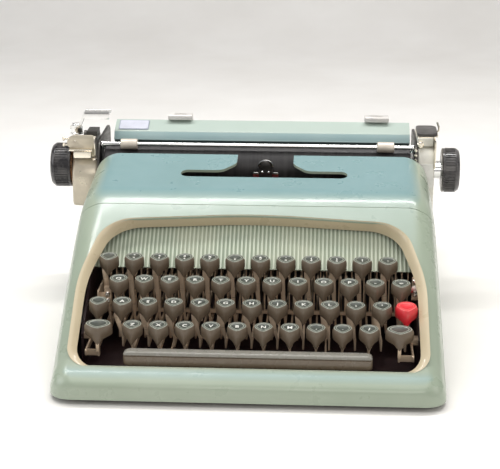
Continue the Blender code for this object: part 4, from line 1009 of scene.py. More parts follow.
def plain_metal(name, tint, roughness, grain=(60.0, 60.0, 900.0), spots=0.2, metallic=1.0):
    """Plated steel with a drawn grain and a few dull spots."""
    finish, tree, shader, place = new_finish(name, roughness, metallic)
    stretched = put(tree, "ShaderNodeMapping", {"Vector": place, "Scale": grain}).outputs[0]
    lines = put(
        tree, "ShaderNodeTexNoise", {"Vector": stretched, "Scale": 1.0, "Detail": 3.0}
    ).outputs["Fac"]
    dull = ramp(tree, cloudy(tree, place, 55.0, 5.0, 0.65), 0.48, 0.72, 0.0, spots)
    darker = tuple(part * 0.35 for part in tint)
    colour = blend(tree, dull, (*tint, 1), (*darker, 1))
    dress(tree, shader, colour, ramp(tree, lines, 0.3, 0.7, roughness * 0.75, roughness * 1.45))
    roughen(tree, shader, lines, 0.08, 0.0001)
    return finish


def pointed(angle):
    """How far out a cap's edge is: round behind, drawn to a blunt point in front."""
    across, ahead = abs(math.cos(angle)), -math.sin(angle)
    if ahead <= 0:
        return 1.0
    return (1 + CAP_NOSE * ahead**8) * (across**CAP_POINT + ahead**CAP_POINT) ** (-1 / CAP_POINT)


def cap(radius, wider=1.0):
    """A key cap with its top at height nought; top in material 0, skirt and prow in 1."""
    bm = bmesh.new()
    rimmed = bm.verts.layers.float.new("rim")
    dish = [(DISH_SHARE * share, -DISH * (1 - share**2), 0.0) for share in (0.3, 0.6, 0.85, 0.97)]
    loops = []
    foot = [(0.99, -CAP_SKIRT, 0.0), (0.96, -CAP_SKIRT - 0.0003, 0.0), (0.60, 0.0010 - CAP_SKIRT, 0.0)]
    for size, height, rim in dish + list(CAP_RINGS) + foot:
        edge = height <= -CAP_SKIRT
        loop = []
        for i in range(CAP_SIDES):
            angle = 2 * math.pi * i / CAP_SIDES
            reach = radius * size * (pointed(angle) if size > 0.5 else 1.0)
            x, y = reach * math.cos(angle), reach * math.sin(angle)
            across = abs(x) / radius
            drop = 0.0
            if edge and y < 0:
                drop = SKIRT_SLOPE * max(0.0, 1 - across) + CAP_PROW * max(0.0, 1 - across / PROW_SHARE)
            vert = bm.verts.new((x * wider, y, height - drop))
            vert[rimmed] = rim
            loop.append(vert)
        loops.append(loop)
    top_rows = len(dish) + 5
    for row, (high, low) in enumerate(zip(loops, loops[1:])):
        for i in range(CAP_SIDES):
            j = (i + 1) % CAP_SIDES
            bm.faces.new((high[i], low[i], low[j], high[j])).material_index = int(row >= top_rows)
    bm.faces.new(loops[0]).material_index = 0
    bm.faces.new(loops[-1][::-1]).material_index = 1
    return bm


def dish_height(x, y, radius):
    share = min(1.0, math.hypot(x, y) / (radius * DISH_SHARE))
    return -DISH * (1 - share**2)


def legend(letters, radius, size):
    """White characters moulded into a cap's dish, one above the other where there are two."""
    bm = bmesh.new()
    for number, letter in enumerate(letters):
        words = bpy.data.curves.new("legend", "FONT")
        words.body = letter
        words.size = size
        words.align_x = "CENTER"
        words.align_y = "CENTER"
        words.resolution_u = 3
        words.offset = LEGEND_LIFT
        mesh = finished(add("legend", words))
        rise = 0.0 if len(letters) == 1 else LEGEND_SPREAD * (0.5 - number)
        mesh.transform(Matrix.Translation((0, rise, 0)))
        bm.from_mesh(mesh)
        bpy.data.meshes.remove(mesh)
    for vert in bm.verts:
        vert.co.z = dish_height(vert.co.x, vert.co.y, radius) + LEGEND_LIFT
    for face in bm.faces:
        face.material_index = 2
    return bm


def lever(y, top_z, lean=0.0):
    """A flat lever with its eye on the fulcrum and a stem set off sideways up to the cap."""
    half = LEVER_HEIGHT / 2
    shoulder = half + STEM_WIDTH
    outline = rounded(
        [
            (half * EYE_END, -half, half * 0.9, 5),
            (half * EYE_END, half, half * 0.9, 5),
            (y + STEM_WIDTH / 2, half, 0.004, 4),
            (y + STEM_WIDTH / 2, shoulder, 0, 1),
            (y - STEM_WIDTH / 2, shoulder, 0, 1),
            (y - STEM_WIDTH / 2, -half, 0.002, 3),
        ]
    )
    bm = plate([outline, circle(0, 0, EYE_RADIUS, 12)], LEVER_THICKNESS, side_plane(0), 0.0002, 3)
    seat = top_z - CAP_SKIRT
    wide = STEM_WIDTH / 2
    thin = LEVER_THICKNESS / 2
    low = shoulder - 0.0012
    bent = [
        (-thin, low),
        (thin, low),
        (lean + wide, seat - STEM_WIDTH),
        (lean + wide, seat - 0.0012),
        (thin * 2, seat + 0.0006),
        (-thin * 2, seat + 0.0006),
        (lean - wide, seat - 0.0012),
        (lean - wide, seat - STEM_WIDTH),
    ]
    front = y - STEM_WIDTH / 2
    face = plate([bent], LEVER_THICKNESS, cross_plane(front + thin * 0.9), 0.0002, 3)
    join(bm, face)
    for side in (-1, 1):
        x = side * (wide - 0.0004)
        flange = box(
            (x - 0.0003, front, seat - 0.0060), (x + 0.0003, front + STEM_WIDTH, seat + 0.0010), 0.0001, 3
        )
        join(bm, flange)
    return bm


def key(letters, y, top_z, lean=0.0, radius=CAP_RADIUS):
    """One whole key drawn from the fulcrum's middle: cap, legend and lever."""
    bm = cap(radius)
    if letters.strip():
        join(bm, legend(letters, radius, LEGEND_SIZES[len(letters) - 1]))
    place = Matrix.Translation((0, y, top_z)) @ Matrix.Rotation(CAP_TILT, 4, "X")
    bmesh.ops.transform(bm, matrix=place, verts=bm.verts)
    return join(bm, lever(y, top_z, lean))


def fit_key(node, body, bm, x, finishes):
    """Hangs a key on the fulcrum rod at x in place of its node."""
    mesh = bpy.data.meshes.new(node)
    bm.to_mesh(mesh)
    bm.free()
    place = at_machine @ Matrix.Translation((x, FULCRUM_Y, LEVER_Z))
    fit(node + "_piece", mesh, body, finishes, [node], place)


def legend_white():
    finish, tree, shader, place = new_finish("legend_white", 0.4)
    colour = blend(tree, cloudy(tree, place, 900.0), (0.62, 0.62, 0.56, 1), (0.88, 0.88, 0.82, 1))
    dress(tree, shader, colour)
    return finish


green_black = cap_top("cap_green", (0.052, 0.060, 0.050), (0.40, 0.42, 0.35), 0.28)
olive_skirt = cap_top("cap_skirt", (0.135, 0.100, 0.068), (0.20, 0.18, 0.14), 0.30)
red_cap = cap_top("cap_red", (0.72, 0.022, 0.035), (0.85, 0.12, 0.12), 0.28)
lever_zinc = plain_metal("lever_zinc", (0.74, 0.58, 0.43), 0.34, metallic=0.45)
cap_finishes = [green_black, olive_skirt, legend_white(), lever_zinc]


def make_key_rows():
    for name, _, letters in ROWS:
        start_x, y, top_z = row_at[name]
        for index, letter in enumerate(letters):
            x = start_x + KEY_PITCH * index
            node = f"{name}_row_key_{index if name == 'number' else index + 1:02d}"
            if letter == " ":
                node = "backspace_key"
            marks = letter + SHIFTED[letter] if letter in SHIFTED else letter
            bm = key(marks[::-1], y - FULCRUM_Y, top_z - LEVER_Z, STEM_LEAN[name])
            fit_key(node, node, bm, x, cap_finishes)


def make_side_keys():
    """The shift lock beside the left end of the home row and the red tab key beside its right end."""
    start_x, y, top_z = row_at["home"]
    step = KEY_PITCH * SIDE_KEY_PITCHES
    lock = key(" ", y - FULCRUM_Y, top_z - LEVER_Z, 0.0, LOCK_RADIUS)
    fit_key("shift_lock_key", "shift_lock_key", lock, start_x - step, cap_finishes)
    tab = key(" ", y - FULCRUM_Y, top_z - LEVER_Z, 0.0, TAB_RADIUS)
    tab_x = start_x + KEY_PITCH * (len(ROWS[1][2]) - 1) + step
    fit_key(
        "tab_key", "tab_key", tab, tab_x, [red_cap, red_cap, cap_finishes[2], lever_zinc]
    )
    return tab_x


def blocks_tree(tree, given):
    """A row of like blocks: a comb's tines, a rack's teeth or a stop's ridges."""
    return line_of(tree, given, put(tree, "GeometryNodeMeshCube", {"Size": given["Size"]}).outputs[0])


def make_comb(metal):
    """The slotted guide under the ribbed panel that keeps the levers a quarter pitch apart."""
    count = int(KEY_PITCH / COMB_STEP * (len(ROWS[-1][2]) + 0.5))
    start = number_row_start - KEY_PITCH * 0.5 + COMB_STEP / 2
    tines = {
        "Count": count,
        "Start": (start, COMB_Y, (COMB_LOW + COMB_HIGH) / 2),
        "Step": (COMB_STEP, 0.0, 0.0),
        "Size": (*COMB_TINE, COMB_HIGH - COMB_LOW),
        "Finish": metal,
    }
    fit("lever_comb", grow("lever_comb", tines, blocks_tree), "base", [metal])
    reach = COMB_STEP * count / 2
    middle = start + COMB_STEP * (count - 1) / 2
    bars = bmesh.new()
    for bottom, top in ((COMB_HIGH - 0.0006, COMB_HIGH + 0.0022), (COMB_LOW - 0.0022, COMB_LOW + 0.0006)):
        front = (middle - reach, COMB_Y + COMB_BAR[0], bottom)
        join(bars, box(front, (middle + reach, COMB_Y + COMB_BAR[1], top), 0.0004))
    fit("lever_comb_bars", bars, "base", [metal])


def make_end_brackets(metal, screw_metal):
    """Folded brackets at both ends of the rows, which carry the comb; each is held by two screws."""
    (start_x, y, top_z), (_, home_y, home_z) = row_at["upper"], row_at["home"]
    arm_x, frame_x = (tab_x + reach for reach in BRACKET_ARMS)
    bm = bmesh.new()
    screws = bmesh.new()
    washer_x = start_x + KEY_PITCH * (len(ROWS[2][2]) - 1) + 0.0106
    turned(screws, WASHER, along_y(washer_x, y + 0.0062, top_z - 0.0072), 24)
    for side, pitches, rise in BRACKET_SIDES:
        x = start_x + KEY_PITCH * pitches
        outer = x + side * BRACKET_FOLD
        near, far = sorted((side * arm_x, side * frame_x))
        bottom = top_z - 0.0170 + rise * 0.7
        face_y = y + 0.0100
        join(
            bm,
            box((x - 0.0026, face_y, bottom), (x + 0.0026, face_y + 0.0012, top_z + 0.0010 + rise), 0.0003),
            box(
                (outer - 0.0007, y + 0.0040, home_z - 0.0150),
                (outer + 0.0007, y + 0.0300, top_z - 0.0010 + rise),
                0.0003,
            ),
            box(
                (near, home_y + 0.0010, BRACKET_ARM_HEIGHTS[0]),
                (far, home_y + 0.0080, BRACKET_ARM_HEIGHTS[1]),
                0.0005,
            ),
            box(
                (min(x, outer), face_y + 0.0001, bottom),
                (max(x, outer), face_y + 0.0011, top_z - 0.0040 + rise),
                0.0003,
            ),
        )
        for drop in (0.0020 - rise * 0.3, 0.0120 + rise * 0.13):
            turned(screws, BRACKET_SCREW, along_y(x, face_y, top_z - drop + rise), 16)
    fit("end_brackets", bm, "base", [metal])
    fit("end_bracket_screws", screws, "base", [screw_metal])


make_key_rows()
tab_x = make_side_keys()
make_comb(lever_zinc)
make_end_brackets(lever_zinc, plain_metal("screw_steel", (0.80, 0.76, 0.70), 0.22))

# --- Shift keys ---
# Two wide caps on one rocking tube, which runs across behind the fulcrum rod and lowers the type
# basket by its links.
SHIFT_PITCHES = (1.312, 1.146)
SHIFT_WIDER = 0.0103 / CAP_RADIUS
SHIFT_TUBE_BEHIND = 0.017
SHIFT_TUBE_RADIUS = 0.0030
shift_arm_x = tab_x + 0.0050


def make_shift_keys():
    start_x, y, top_z = row_at["lower"]
    end_x = start_x + KEY_PITCH * (len(ROWS[0][2]) - 1)
    y -= FULCRUM_Y
    top_z -= LEVER_Z
    half = LEVER_HEIGHT / 2
    bm = bmesh.new()
    for side, x in (
        (-1, start_x - KEY_PITCH * SHIFT_PITCHES[0]), (1, end_x + KEY_PITCH * SHIFT_PITCHES[1])
    ):
        wide = cap(CAP_RADIUS, SHIFT_WIDER)
        place = Matrix.Translation((x, y, top_z)) @ Matrix.Rotation(CAP_TILT, 4, "X")
        bmesh.ops.transform(wide, matrix=place, verts=wide.verts)
        arm_x = side * shift_arm_x
        outline = rounded(
            [
                (SHIFT_TUBE_BEHIND + 0.001, -half, half * 0.9, 5),
                (SHIFT_TUBE_BEHIND + 0.001, half, half * 0.9, 5),
                (y - STEM_WIDTH / 2, half, 0.001, 3),
                (y - STEM_WIDTH / 2, -half, 0.001, 3),
            ]
        )
        arm = plate([outline, circle(0, 0, EYE_RADIUS, 12)], LEVER_THICKNESS, side_plane(arm_x), 0.0002, 3)
        thick = LEVER_THICKNESS / 2
        stem = box(
            (x - thick, y - STEM_WIDTH / 2, -half),
            (x + thick, y + STEM_WIDTH / 2, top_z - CAP_SKIRT),
            0.0002,
            3,
        )
        post = box((x - 0.0012, y - 0.0062, half), (x + 0.0012, y - 0.0040, top_z - CAP_SKIRT), 0.0003, 3)
        step = box((min(x, arm_x), y - thick, -half), (max(x, arm_x), y + thick, half), 0.0002, 3)
        join(bm, wide, arm, stem, post, step)
    tube = [
        (0.0, 0.0), (SHIFT_TUBE_RADIUS, 0.0), (SHIFT_TUBE_RADIUS, 2 * shift_arm_x), (0.0, 2 * shift_arm_x)
    ]
    turned(bm, tube, along_x(-shift_arm_x, SHIFT_TUBE_BEHIND, 0), 20, 3)
    fit_key("shift_keys", "shift_keys", bm, 0.0, cap_finishes)


make_shift_keys()

# --- Space bar ---
# A long moulded bar, glossy grey-brown and crowned along its top, its top faces painted paler grey as lit
# from above; it is carried on two steel arms that come up through it from below the levers.
SPACE_LENGTH = 0.1785
SPACE_FRONT_Y = 0.0172
SPACE_DEPTH = 0.0105
SPACE_BOTTOM_Z = 0.0182
SPACE_HEIGHT = 0.0122
SPACE_TOP_EDGE = 0.0026
SPACE_ARM_FRONT_Z = 0.0135
SPACE_ARM_PITCHES = (2.625, 8.625)


def bar_shape():
    """The bar as a loft of one section, grooved under its top edge, that shrinks round both ends."""
    groove = SPACE_HEIGHT - SPACE_TOP_EDGE
    section = rounded(
        [
            (0.0008, 0.0, 0.0024, 5),
            (SPACE_DEPTH, 0.0, 0.0015, 3),
            (SPACE_DEPTH, SPACE_HEIGHT * 0.94, 0.0020, 4),
            (0.0006, SPACE_HEIGHT, 0.0016, 6),
            (0.0, groove, 0.0004, 2),
            (0.0010, groove - 0.0002, 0.0002, 2),
            (0.0010, groove - 0.0008, 0.0002, 2),
            (0.0002, groove - 0.0010, 0.0003, 2),
        ]
    )
    middle = (SPACE_DEPTH / 2, SPACE_HEIGHT / 2)
    stations = [(0.0, 0.62), (0.0006, 0.80), (0.0020, 0.93), (0.0042, 1.0)]
    bm = bmesh.new()
    loops = []
    for x, size in stations + [(SPACE_LENGTH - x, size) for x, size in stations[::-1]]:
        loop = [
            bm.verts.new(
                (
                    x - SPACE_LENGTH / 2,
                    middle[0] + (y - middle[0]) * size,
                    middle[1] + (z - middle[1]) * size,
                ),
            )
            for y, z in section
        ]
        loops.append(loop)
    for left, right in zip(loops, loops[1:]):
        for i in range(len(left)):
            j = (i + 1) % len(left)
            bm.faces.new((left[i], left[j], right[j], right[i]))
    bm.faces.new(loops[0])
    bm.faces.new(loops[-1])
    # Faces above the groove take the top finish, painted paler as lit from above.
    for face in bm.faces:
        if face.calc_center_median().z > groove:
            face.material_index = 2
    return bm


def make_space_bar():
    bar = bar_shape()
    front = SPACE_FRONT_Y - FULCRUM_Y
    bottom = SPACE_BOTTOM_Z - LEVER_Z
    bmesh.ops.translate(bar, verts=bar.verts, vec=(0, front, bottom))
    half = LEVER_HEIGHT / 2
    middle = front + SPACE_DEPTH / 2
    dip = SPACE_ARM_FRONT_Z - LEVER_Z
    for pitches in SPACE_ARM_PITCHES:
        post = STEM_WIDTH / 2
        outline = rounded(
            [
                (half * 1.7, -half, half * 0.9, 4),
                (half * 1.7, half, half * 0.9, 4),
                (middle + post, dip + half, 0.002, 3),
                (middle + post, bottom + SPACE_HEIGHT / 4, 0, 1),
                (middle - post, bottom + SPACE_HEIGHT / 4, 0, 1),
                (middle - post, dip - half, 0.002, 3),
            ]
        )
        x = number_row_start + KEY_PITCH * pitches
        join(bar, plate([outline, circle(0, 0, EYE_RADIUS, 12)], LEVER_THICKNESS, side_plane(x), 0.0002, 1))
    gloss = cap_top("bar_brown", (0.150, 0.115, 0.080), (0.20, 0.18, 0.14), 0.20)
    # Painted highlight: the bar's top is the same plastic, painted paler grey as lit from above.
    painted_lit_top = cap_top("bar_grey", (0.26, 0.25, 0.22), (0.20, 0.18, 0.14), 0.16)
    fit_key("space_bar", "space_bar", bar, 0.0, [gloss, lever_zinc, painted_lit_top])


make_space_bar()

# --- Type basket ---
# A cast segment with a slot for every typebar, the bars lying in their rest in front of it, and
# the bright type guide at the printing point; the shift keys lower the lot.
BASKET_TOP_Z = 0.104
BASKET_RADIUS = 0.049
BASKET_BAND = 0.013
BASKET_REAR_Y = 0.2040
BASKET_FRONT_Y = 0.1490
TYPEBARS = 44
GUIDE_WIDTH = 0.019
GUIDE_TOP_Z = 0.1215
GUIDE_FOOT_DROP = 0.0185
FAN_MARGIN = 0.06
EAR_HALF = (0.0026, 0.0030)
GUIDE_SCREW = [(0.0, 0.0009), (0.0007, 0.0008), (0.0011, 0.0004), (0.0012, 0.0), (0.0, 0.0)]


def fan_tree(tree, given):
    """Blocks of one Size set round an arc about the y axis, their third axis pointing outwards."""
    index = put(tree, "GeometryNodeInputIndex").outputs[0]
    step = put(tree, "ShaderNodeMath", {0: index, 1: given["Turn Step"]}, operation="MULTIPLY").outputs[0]
    angle = put(tree, "ShaderNodeMath", {0: step, 1: given["Turn Start"]}, operation="ADD").outputs[0]
    across = put(tree, "ShaderNodeMath", {0: angle}, operation="SINE").outputs[0]
    up = put(tree, "ShaderNodeMath", {0: angle}, operation="COSINE").outputs[0]
    flat = put(tree, "ShaderNodeCombineXYZ", {0: across, 1: 0.0, 2: up}).outputs[0]
    spot = put(
        tree, "ShaderNodeVectorMath", {0: flat, "Scale": given["Radius"]}, operation="SCALE"
    ).outputs[0]
    moved = put(tree, "ShaderNodeVectorMath", {0: spot, 1: given["Middle"]}, operation="ADD").outputs[0]
    points = put(tree, "GeometryNodePoints", {"Count": given["Count"], "Position": moved}).outputs[0]
    block = put(tree, "GeometryNodeMeshCube", {"Size": given["Size"]}).outputs[0]
    tipped = put(tree, "GeometryNodeTransform", {"Geometry": block, "Rotation": given["Tip"]}).outputs[0]
    turn = put(tree, "ShaderNodeCombineXYZ", {0: 0.0, 1: angle, 2: 0.0}).outputs[0]
    placed = put(
        tree, "GeometryNodeInstanceOnPoints", {"Points": points, "Instance": tipped, "Rotation": turn}
    )
    return placed.outputs[0]


def fan(name, finish, count, radius, start, span, size, middle, tip=(0.0, 0.0, 0.0)):
    inputs = {
        "Count": count,
        "Radius": radius,
        "Turn Start": start,
        "Turn Step": span / (count - 1),
        "Size": size,
        "Middle": middle,
        "Tip": tip,
        "Finish": finish,
    }
    return grow(name, inputs, fan_tree)


def half_ring(outer, inner, steps=36):
    """A half ring open at the top, drawn about the printing point."""
    turns = [math.pi + math.pi * step / steps for step in range(steps + 1)]
    outline = [(TYPE_X + outer * math.cos(a), BASKET_TOP_Z + outer * math.sin(a)) for a in turns]
    return outline + [(TYPE_X + inner * math.cos(a), BASKET_TOP_Z + inner * math.sin(a)) for a in turns[::-1]]


def make_basket(steel, dark_steel, bright):
    middle_radius = BASKET_RADIUS - BASKET_BAND / 2
    bottom = BASKET_TOP_Z - BASKET_RADIUS
    segment_y = BASKET_REAR_Y - 0.006
    inner = BASKET_RADIUS - BASKET_BAND
    bm = plate([half_ring(BASKET_RADIUS, inner)], 0.0080, cross_plane(segment_y), 0.0006)
    rest_ring = half_ring(BASKET_RADIUS, BASKET_RADIUS - BASKET_BAND * 0.8)
    rest = plate([rest_ring], 0.0045, cross_plane(BASKET_FRONT_Y), 0.0006)
    tie = box(
        (TYPE_X - 0.020, BASKET_FRONT_Y, bottom + 0.004), (TYPE_X + 0.020, segment_y, bottom + 0.009), 0.001
    )
    fit("segment", join(bm, rest, tie), "type_basket", [steel], ["type_basket"])
    start, span = math.pi / 2 + FAN_MARGIN, math.pi - 2 * FAN_MARGIN
    length = segment_y - BASKET_FRONT_Y
    lean = 0.035
    rows = (
        (
            "typebars",
            bright,
            0,
            middle_radius - 0.004,
            (0.0011, length, 0.0042),
            (segment_y + BASKET_FRONT_Y) / 2,
        ),
        (
            "type_slugs",
            dark_steel,
            0,
            middle_radius - 0.0065,
            (0.0020, 0.0060, 0.0075),
            BASKET_FRONT_Y + 0.009,
        ),
        ("segment_teeth", dark_steel, 1, inner + 0.002, (0.0012, 0.0090, 0.0050), segment_y),
    )
    for name, finish, more, radius, size, y in rows:
        first, turn = start - more * lean, span + more * 2 * lean
        tip = (0.05, 0.0, 0.0) if name == "typebars" else (0.0, 0.0, 0.0)
        mesh = fan(name, finish, TYPEBARS + more, radius, first, turn, size, (TYPE_X, y, BASKET_TOP_Z), tip)
        fit(name, mesh, "type_basket", [finish])


def arch(width, foot_z, top_z, radius, steps=10):
    """An upright outline with a rounded top, about the printing point."""
    half = width / 2
    return [(TYPE_X - half, foot_z), (TYPE_X + half, foot_z)] + rounded(
        [
            (TYPE_X + half, foot_z, 0, 1),
            (TYPE_X + half, top_z, radius, steps),
            (TYPE_X - half, top_z, radius, steps),
            (TYPE_X - half, foot_z, 0, 1),
        ]
    )[1:-1]


def make_type_guide(chrome, dark_steel):
    """The arched guide with its two ears and screws, on a dark bracket up from the segment."""
    y = BASKET_REAR_Y + 0.0055
    foot = BASKET_TOP_Z - BASKET_RADIUS + BASKET_BAND * 0.4
    tongue = arch(GUIDE_WIDTH * 0.60, foot, GUIDE_TOP_Z - 0.0022, 0.005)
    bracket = plate([tongue], 0.0012, cross_plane(y + 0.0010), 0.0002)
    neck = box(
        (TYPE_X - 0.0076, BASKET_REAR_Y - 0.006, foot), (TYPE_X + 0.0076, y + 0.0005, foot + 0.006), 0.0005
    )
    fit("guide_bracket", join(bracket, neck), "type_basket", [dark_steel])
    outer = arch(GUIDE_WIDTH * 0.66, GUIDE_TOP_Z - GUIDE_FOOT_DROP, GUIDE_TOP_Z, 0.0058)
    inner = arch(GUIDE_WIDTH * 0.48, GUIDE_TOP_Z - GUIDE_FOOT_DROP, GUIDE_TOP_Z - 0.0015, 0.0042)
    guide = plate([outer[2:] + inner[2:][::-1]], 0.0012, cross_plane(y - 0.0008), 0.00025)
    wide, tall = EAR_HALF
    for side in (-1, 1):
        x = TYPE_X + side * GUIDE_WIDTH * 0.42
        z = GUIDE_TOP_Z - 0.0135
        corners = ((x - wide, z - tall), (x + wide, z - tall), (x + wide, z + tall), (x - wide, z + tall))
        ear = rounded([(*corner, 0.0012, 3) for corner in corners])
        join(guide, plate([ear], 0.0011, cross_plane(y - 0.0012), 0.0002))
        turned(guide, GUIDE_SCREW, along_y(TYPE_X + side * 0.0026, y - 0.0018, GUIDE_TOP_Z - 0.0105), 14)
    fit("type_guide", guide, "type_basket", [chrome])


steel = plain_metal("cast_steel", (0.42, 0.40, 0.37), 0.45)
dark_steel = plain_metal("dark_steel", (0.10, 0.095, 0.09), 0.40)
chrome = plain_metal("chrome", (0.88, 0.88, 0.87), 0.10, (300.0, 300.0, 300.0), 0.12)
bright_steel = plain_metal("bright_steel", (0.66, 0.64, 0.60), 0.28)
make_hinges(dark_steel)
make_basket(steel, dark_steel, bright_steel)
make_type_guide(chrome, dark_steel)

# --- Ribbon and spools ---
# A cotton ribbon, black above red, runs from spool to spool through the vibrator in front of the
# platen; the spools stand on the base under the two sides of the cover.
SPOOL_RADIUS = 0.0260
SPOOL_X = 0.0835
SPOOL_Y = 0.171
SPOOL_TOP_Z = 0.1015
RIBBON_WIDTH = 0.0127
RIBBON_Y = 0.2005
RIBBON_LOW = 0.0270
RED_LINE = 0.0206
POST_FOOT_Z = 0.038
POST_BEHIND = 0.036


def ribbon_cloth():
    """Woven ribbon, dark red below and black above, its weave across the light."""
    finish, tree, shader, place = new_finish("ribbon_cloth", 0.75)
    split = put(tree, "ShaderNodeSeparateXYZ", {0: place})
    line = FOOT_HEIGHT + GUIDE_TOP_Z - RED_LINE
    share = ramp(tree, split.outputs["Z"], line - 0.0002, line + 0.0002)
    colour = blend(tree, share, (0.012, 0.011, 0.013, 1), (0.16, 0.014, 0.014, 1))
    dress(tree, shader, colour)
    weave = put(tree, "ShaderNodeTexWave", {"Vector": place, "Scale": 1500.0}).outputs["Fac"]
    roughen(tree, shader, weave, 0.3, 0.0001)
    return finish


def make_ribbon():
    """The run of ribbon between the spools, standing on edge round its two guide posts."""
    reach = GUIDE_WIDTH / 2 + 0.004
    left, right = TYPE_X - reach, TYPE_X + reach
    route = [
        (-SPOOL_X - 0.004, SPOOL_Y + SPOOL_RADIUS * 0.74),
        (left - 0.030, SPOOL_Y + 0.0090),
        (left - 0.006, RIBBON_Y - 0.0090),
        (left, RIBBON_Y - 0.0020),
        (right, RIBBON_Y - 0.0020),
        (right + 0.006, RIBBON_Y - 0.0090),
        (right + 0.030, SPOOL_Y + 0.0090),
        (SPOOL_X + 0.013, SPOOL_Y + SPOOL_RADIUS * 0.74),
    ]
    low = GUIDE_TOP_Z - RIBBON_LOW
    bm = bmesh.new()
    rows = [[bm.verts.new((x, y, low + RIBBON_WIDTH * k / 3)) for x, y in route] for k in range(4)]
    for under, over in zip(rows, rows[1:]):
        for i in range(len(route) - 1):
            bm.faces.new((under[i], under[i + 1], over[i + 1], over[i]))
    mesh = bpy.data.meshes.new("ribbon")
    bm.to_mesh(mesh)
    bm.free()
    holder = add("ribbon", mesh)
    thick = holder.modifiers.new("thick", "SOLIDIFY")
    thick.thickness = 0.00015
    fit("ribbon", finished(holder), "base", [ribbon_cloth()])


def make_spools(metal, cloth):
    z, r = SPOOL_TOP_Z, SPOOL_RADIUS
    flanges = [
        (0.0, z),
        (0.0030, z),
        (0.0034, z - 0.0010),
        (0.0120, z - 0.0012),
        (r - 0.0005, z - 0.0030),
        (r, z - 0.0036),
        (r - 0.0005, z - 0.0040),
        (0.0060, z - 0.0034),
        (0.0060, z - 0.0166),
        (r, z - 0.0172),
        (r, z - 0.0180),
        (0.0, z - 0.0180),
    ]
    coil = [(0.0060, z - 0.0038), (r * 0.80, z - 0.0042), (r * 0.80, z - 0.0166), (0.0060, z - 0.0166)]
    bowl = [
        (0.0, z - 0.0190),
        (r + 0.0020, z - 0.0190),
        (r + 0.0022, z - 0.0120),
        (r + 0.0028, z - 0.0120),
        (r + 0.0026, z - 0.0198),
        (0.0, z - 0.0198),
    ]
    stalk = [(0.0, POST_FOOT_Z), (0.005, POST_FOOT_Z), (0.005, z - 0.0200), (0.0, z - 0.0200)]
    for name, x in (("left", -SPOOL_X), ("right", SPOOL_X + 2 * TYPE_X)):
        middle = Matrix.Translation((x, SPOOL_Y, 0))
        fit(f"spool_{name}", turned(bmesh.new(), flanges, middle, 40), "base", [metal])
        wound = turned(bmesh.new(), coil, middle, 40)
        fit(f"wound_ribbon_{name}", wound, "base", [cloth])
        cup = turned(bmesh.new(), bowl, middle, 40)
        post = turned(bmesh.new(), stalk, Matrix.Translation((x, SPOOL_Y + POST_BEHIND, 0)), 16)
        fit(f"spool_cup_{name}", join(cup, post), "base", [enamel])


make_ribbon()
make_spools(bright_steel, dark_steel)

# --- Carriage frame ---
# Two end housings on a truck that rolls along the rail. The left one is a curved nickel cover over
# the line-space ratchet; the right one is a plate painted ivory.
PLATEN_Y = 0.2415
PLATEN_Z = 0.106
PLATEN_RADIUS = 0.0195
PLATEN_LEFT_X = -0.1250
PLATEN_RIGHT_X = 0.1300
AXLE_RADIUS = 0.0050
PLATE_FRONT_Y = 0.2225
PLATE_REAR_Y = 0.2880
PLATE_TOP_Z = 0.1310
PLATE_BOTTOM_Z = 0.0745
BAIL_SPACE = 0.0035
LEFT_PLATE = 0.0240
RIGHT_PLATE = 0.0160
RAIL_Y = 0.276
RAIL_DEPTH = 0.022
TRUCK_HEIGHT = 0.0055
WALL_HOLE = 0.0054
END_HOLE = 0.0056
LEFT_END_Y = 0.2300
LEFT_LEDGE = (
    ((-0.1500, 0.2215, 0.1172), (-0.1352, 0.2300, 0.1228), 0.0007),
    ((-0.1540, 0.2235, 0.1225), (-0.1345, 0.2310, 0.1242), 0.0004),
)
LEFT_UPRIGHT = (
    (-0.1330, 0.1170, 0.0008, 3),
    (-0.1330, 0.1352, 0.0030, 6),
    (-0.1562, 0.1352, 0.0070, 12),
    (-0.1562, 0.1236, 0.0045, 8),
    (-0.1480, 0.1236, 0.0008, 3),
    (-0.1480, 0.1170, 0.0008, 3),
)
LEFT_UPRIGHT_HOLE = (-0.1496, 0.1302, 0.0009, 14)
LEFT_BRACE = ((-0.1548, 0.2285, 0.1262), (-0.1345, 0.2420, 0.1276), 0.0004)
LEFT_CATCH = (
    ((-0.1402, 0.2320, 0.1240), (-0.1312, 0.2480, 0.1376), 0.0008),
    ((-0.1318, 0.2240, 0.1180), (-0.1300, 0.2420, 0.1342), 0.0005),
)
CATCH_WHEEL = (0.2370, 0.1330, 0.0042, 24)
GAUGE_ROD = [(0.0, 0.0), (0.0009, 0.0), (0.0011, 0.0004), (0.0011, 0.0158), (0.0007, 0.0164), (0.0, 0.0164)]
GAUGE_FOOT = [(0.0, 0.0), (0.0020, 0.0), (0.0022, 0.0006), (0.0018, 0.0012), (0.0, 0.0014)]
END_SCREW = [
    (0.0, 0.0),
    (0.0009, 0.0),
    (0.0009, 0.0048),
    (0.0018, 0.0050),
    (0.0019, 0.0062),
    (0.0012, 0.0068),
    (0.0, 0.0068),
]
END_SCREW_HEIGHTS = (0.1262, 0.1316)
RELEASE_PLATE = ((0.1352, 0.2326), (0.1522, 0.2616), (0.0036, 0.0056))
RELEASE_TRAY = ((0.1346, 0.2318), (0.1528, 0.2622), (0.0040, 0.0060))
RELEASE_BUTTON = [
    (0.0, 0.0),
    (0.0022, 0.0),
    (0.0022, 0.0030),
    (0.0028, 0.0034),
    (0.0028, 0.0050),
    (0.0020, 0.0058),
    (0.0, 0.0060),
]
PANEL_SCREW = [(0.0, 0.0), (0.0013, 0.0), (0.0013, 0.0010), (0.0, 0.0013)]
PANEL_SCREW_HEIGHTS = (0.1190, 0.1232, 0.1274)
HOOK_Y = 0.2450
HOOK_LINE = (
    (0.1500, 0.1368),
    (0.1520, 0.1374),
    (0.1535, 0.1392),
    (0.1536, 0.1412),
    (0.1528, 0.1436),
    (0.1520, 0.1460),
)
HOOK_RADIUS = 0.0008
left_inner = PLATEN_LEFT_X - BAIL_SPACE
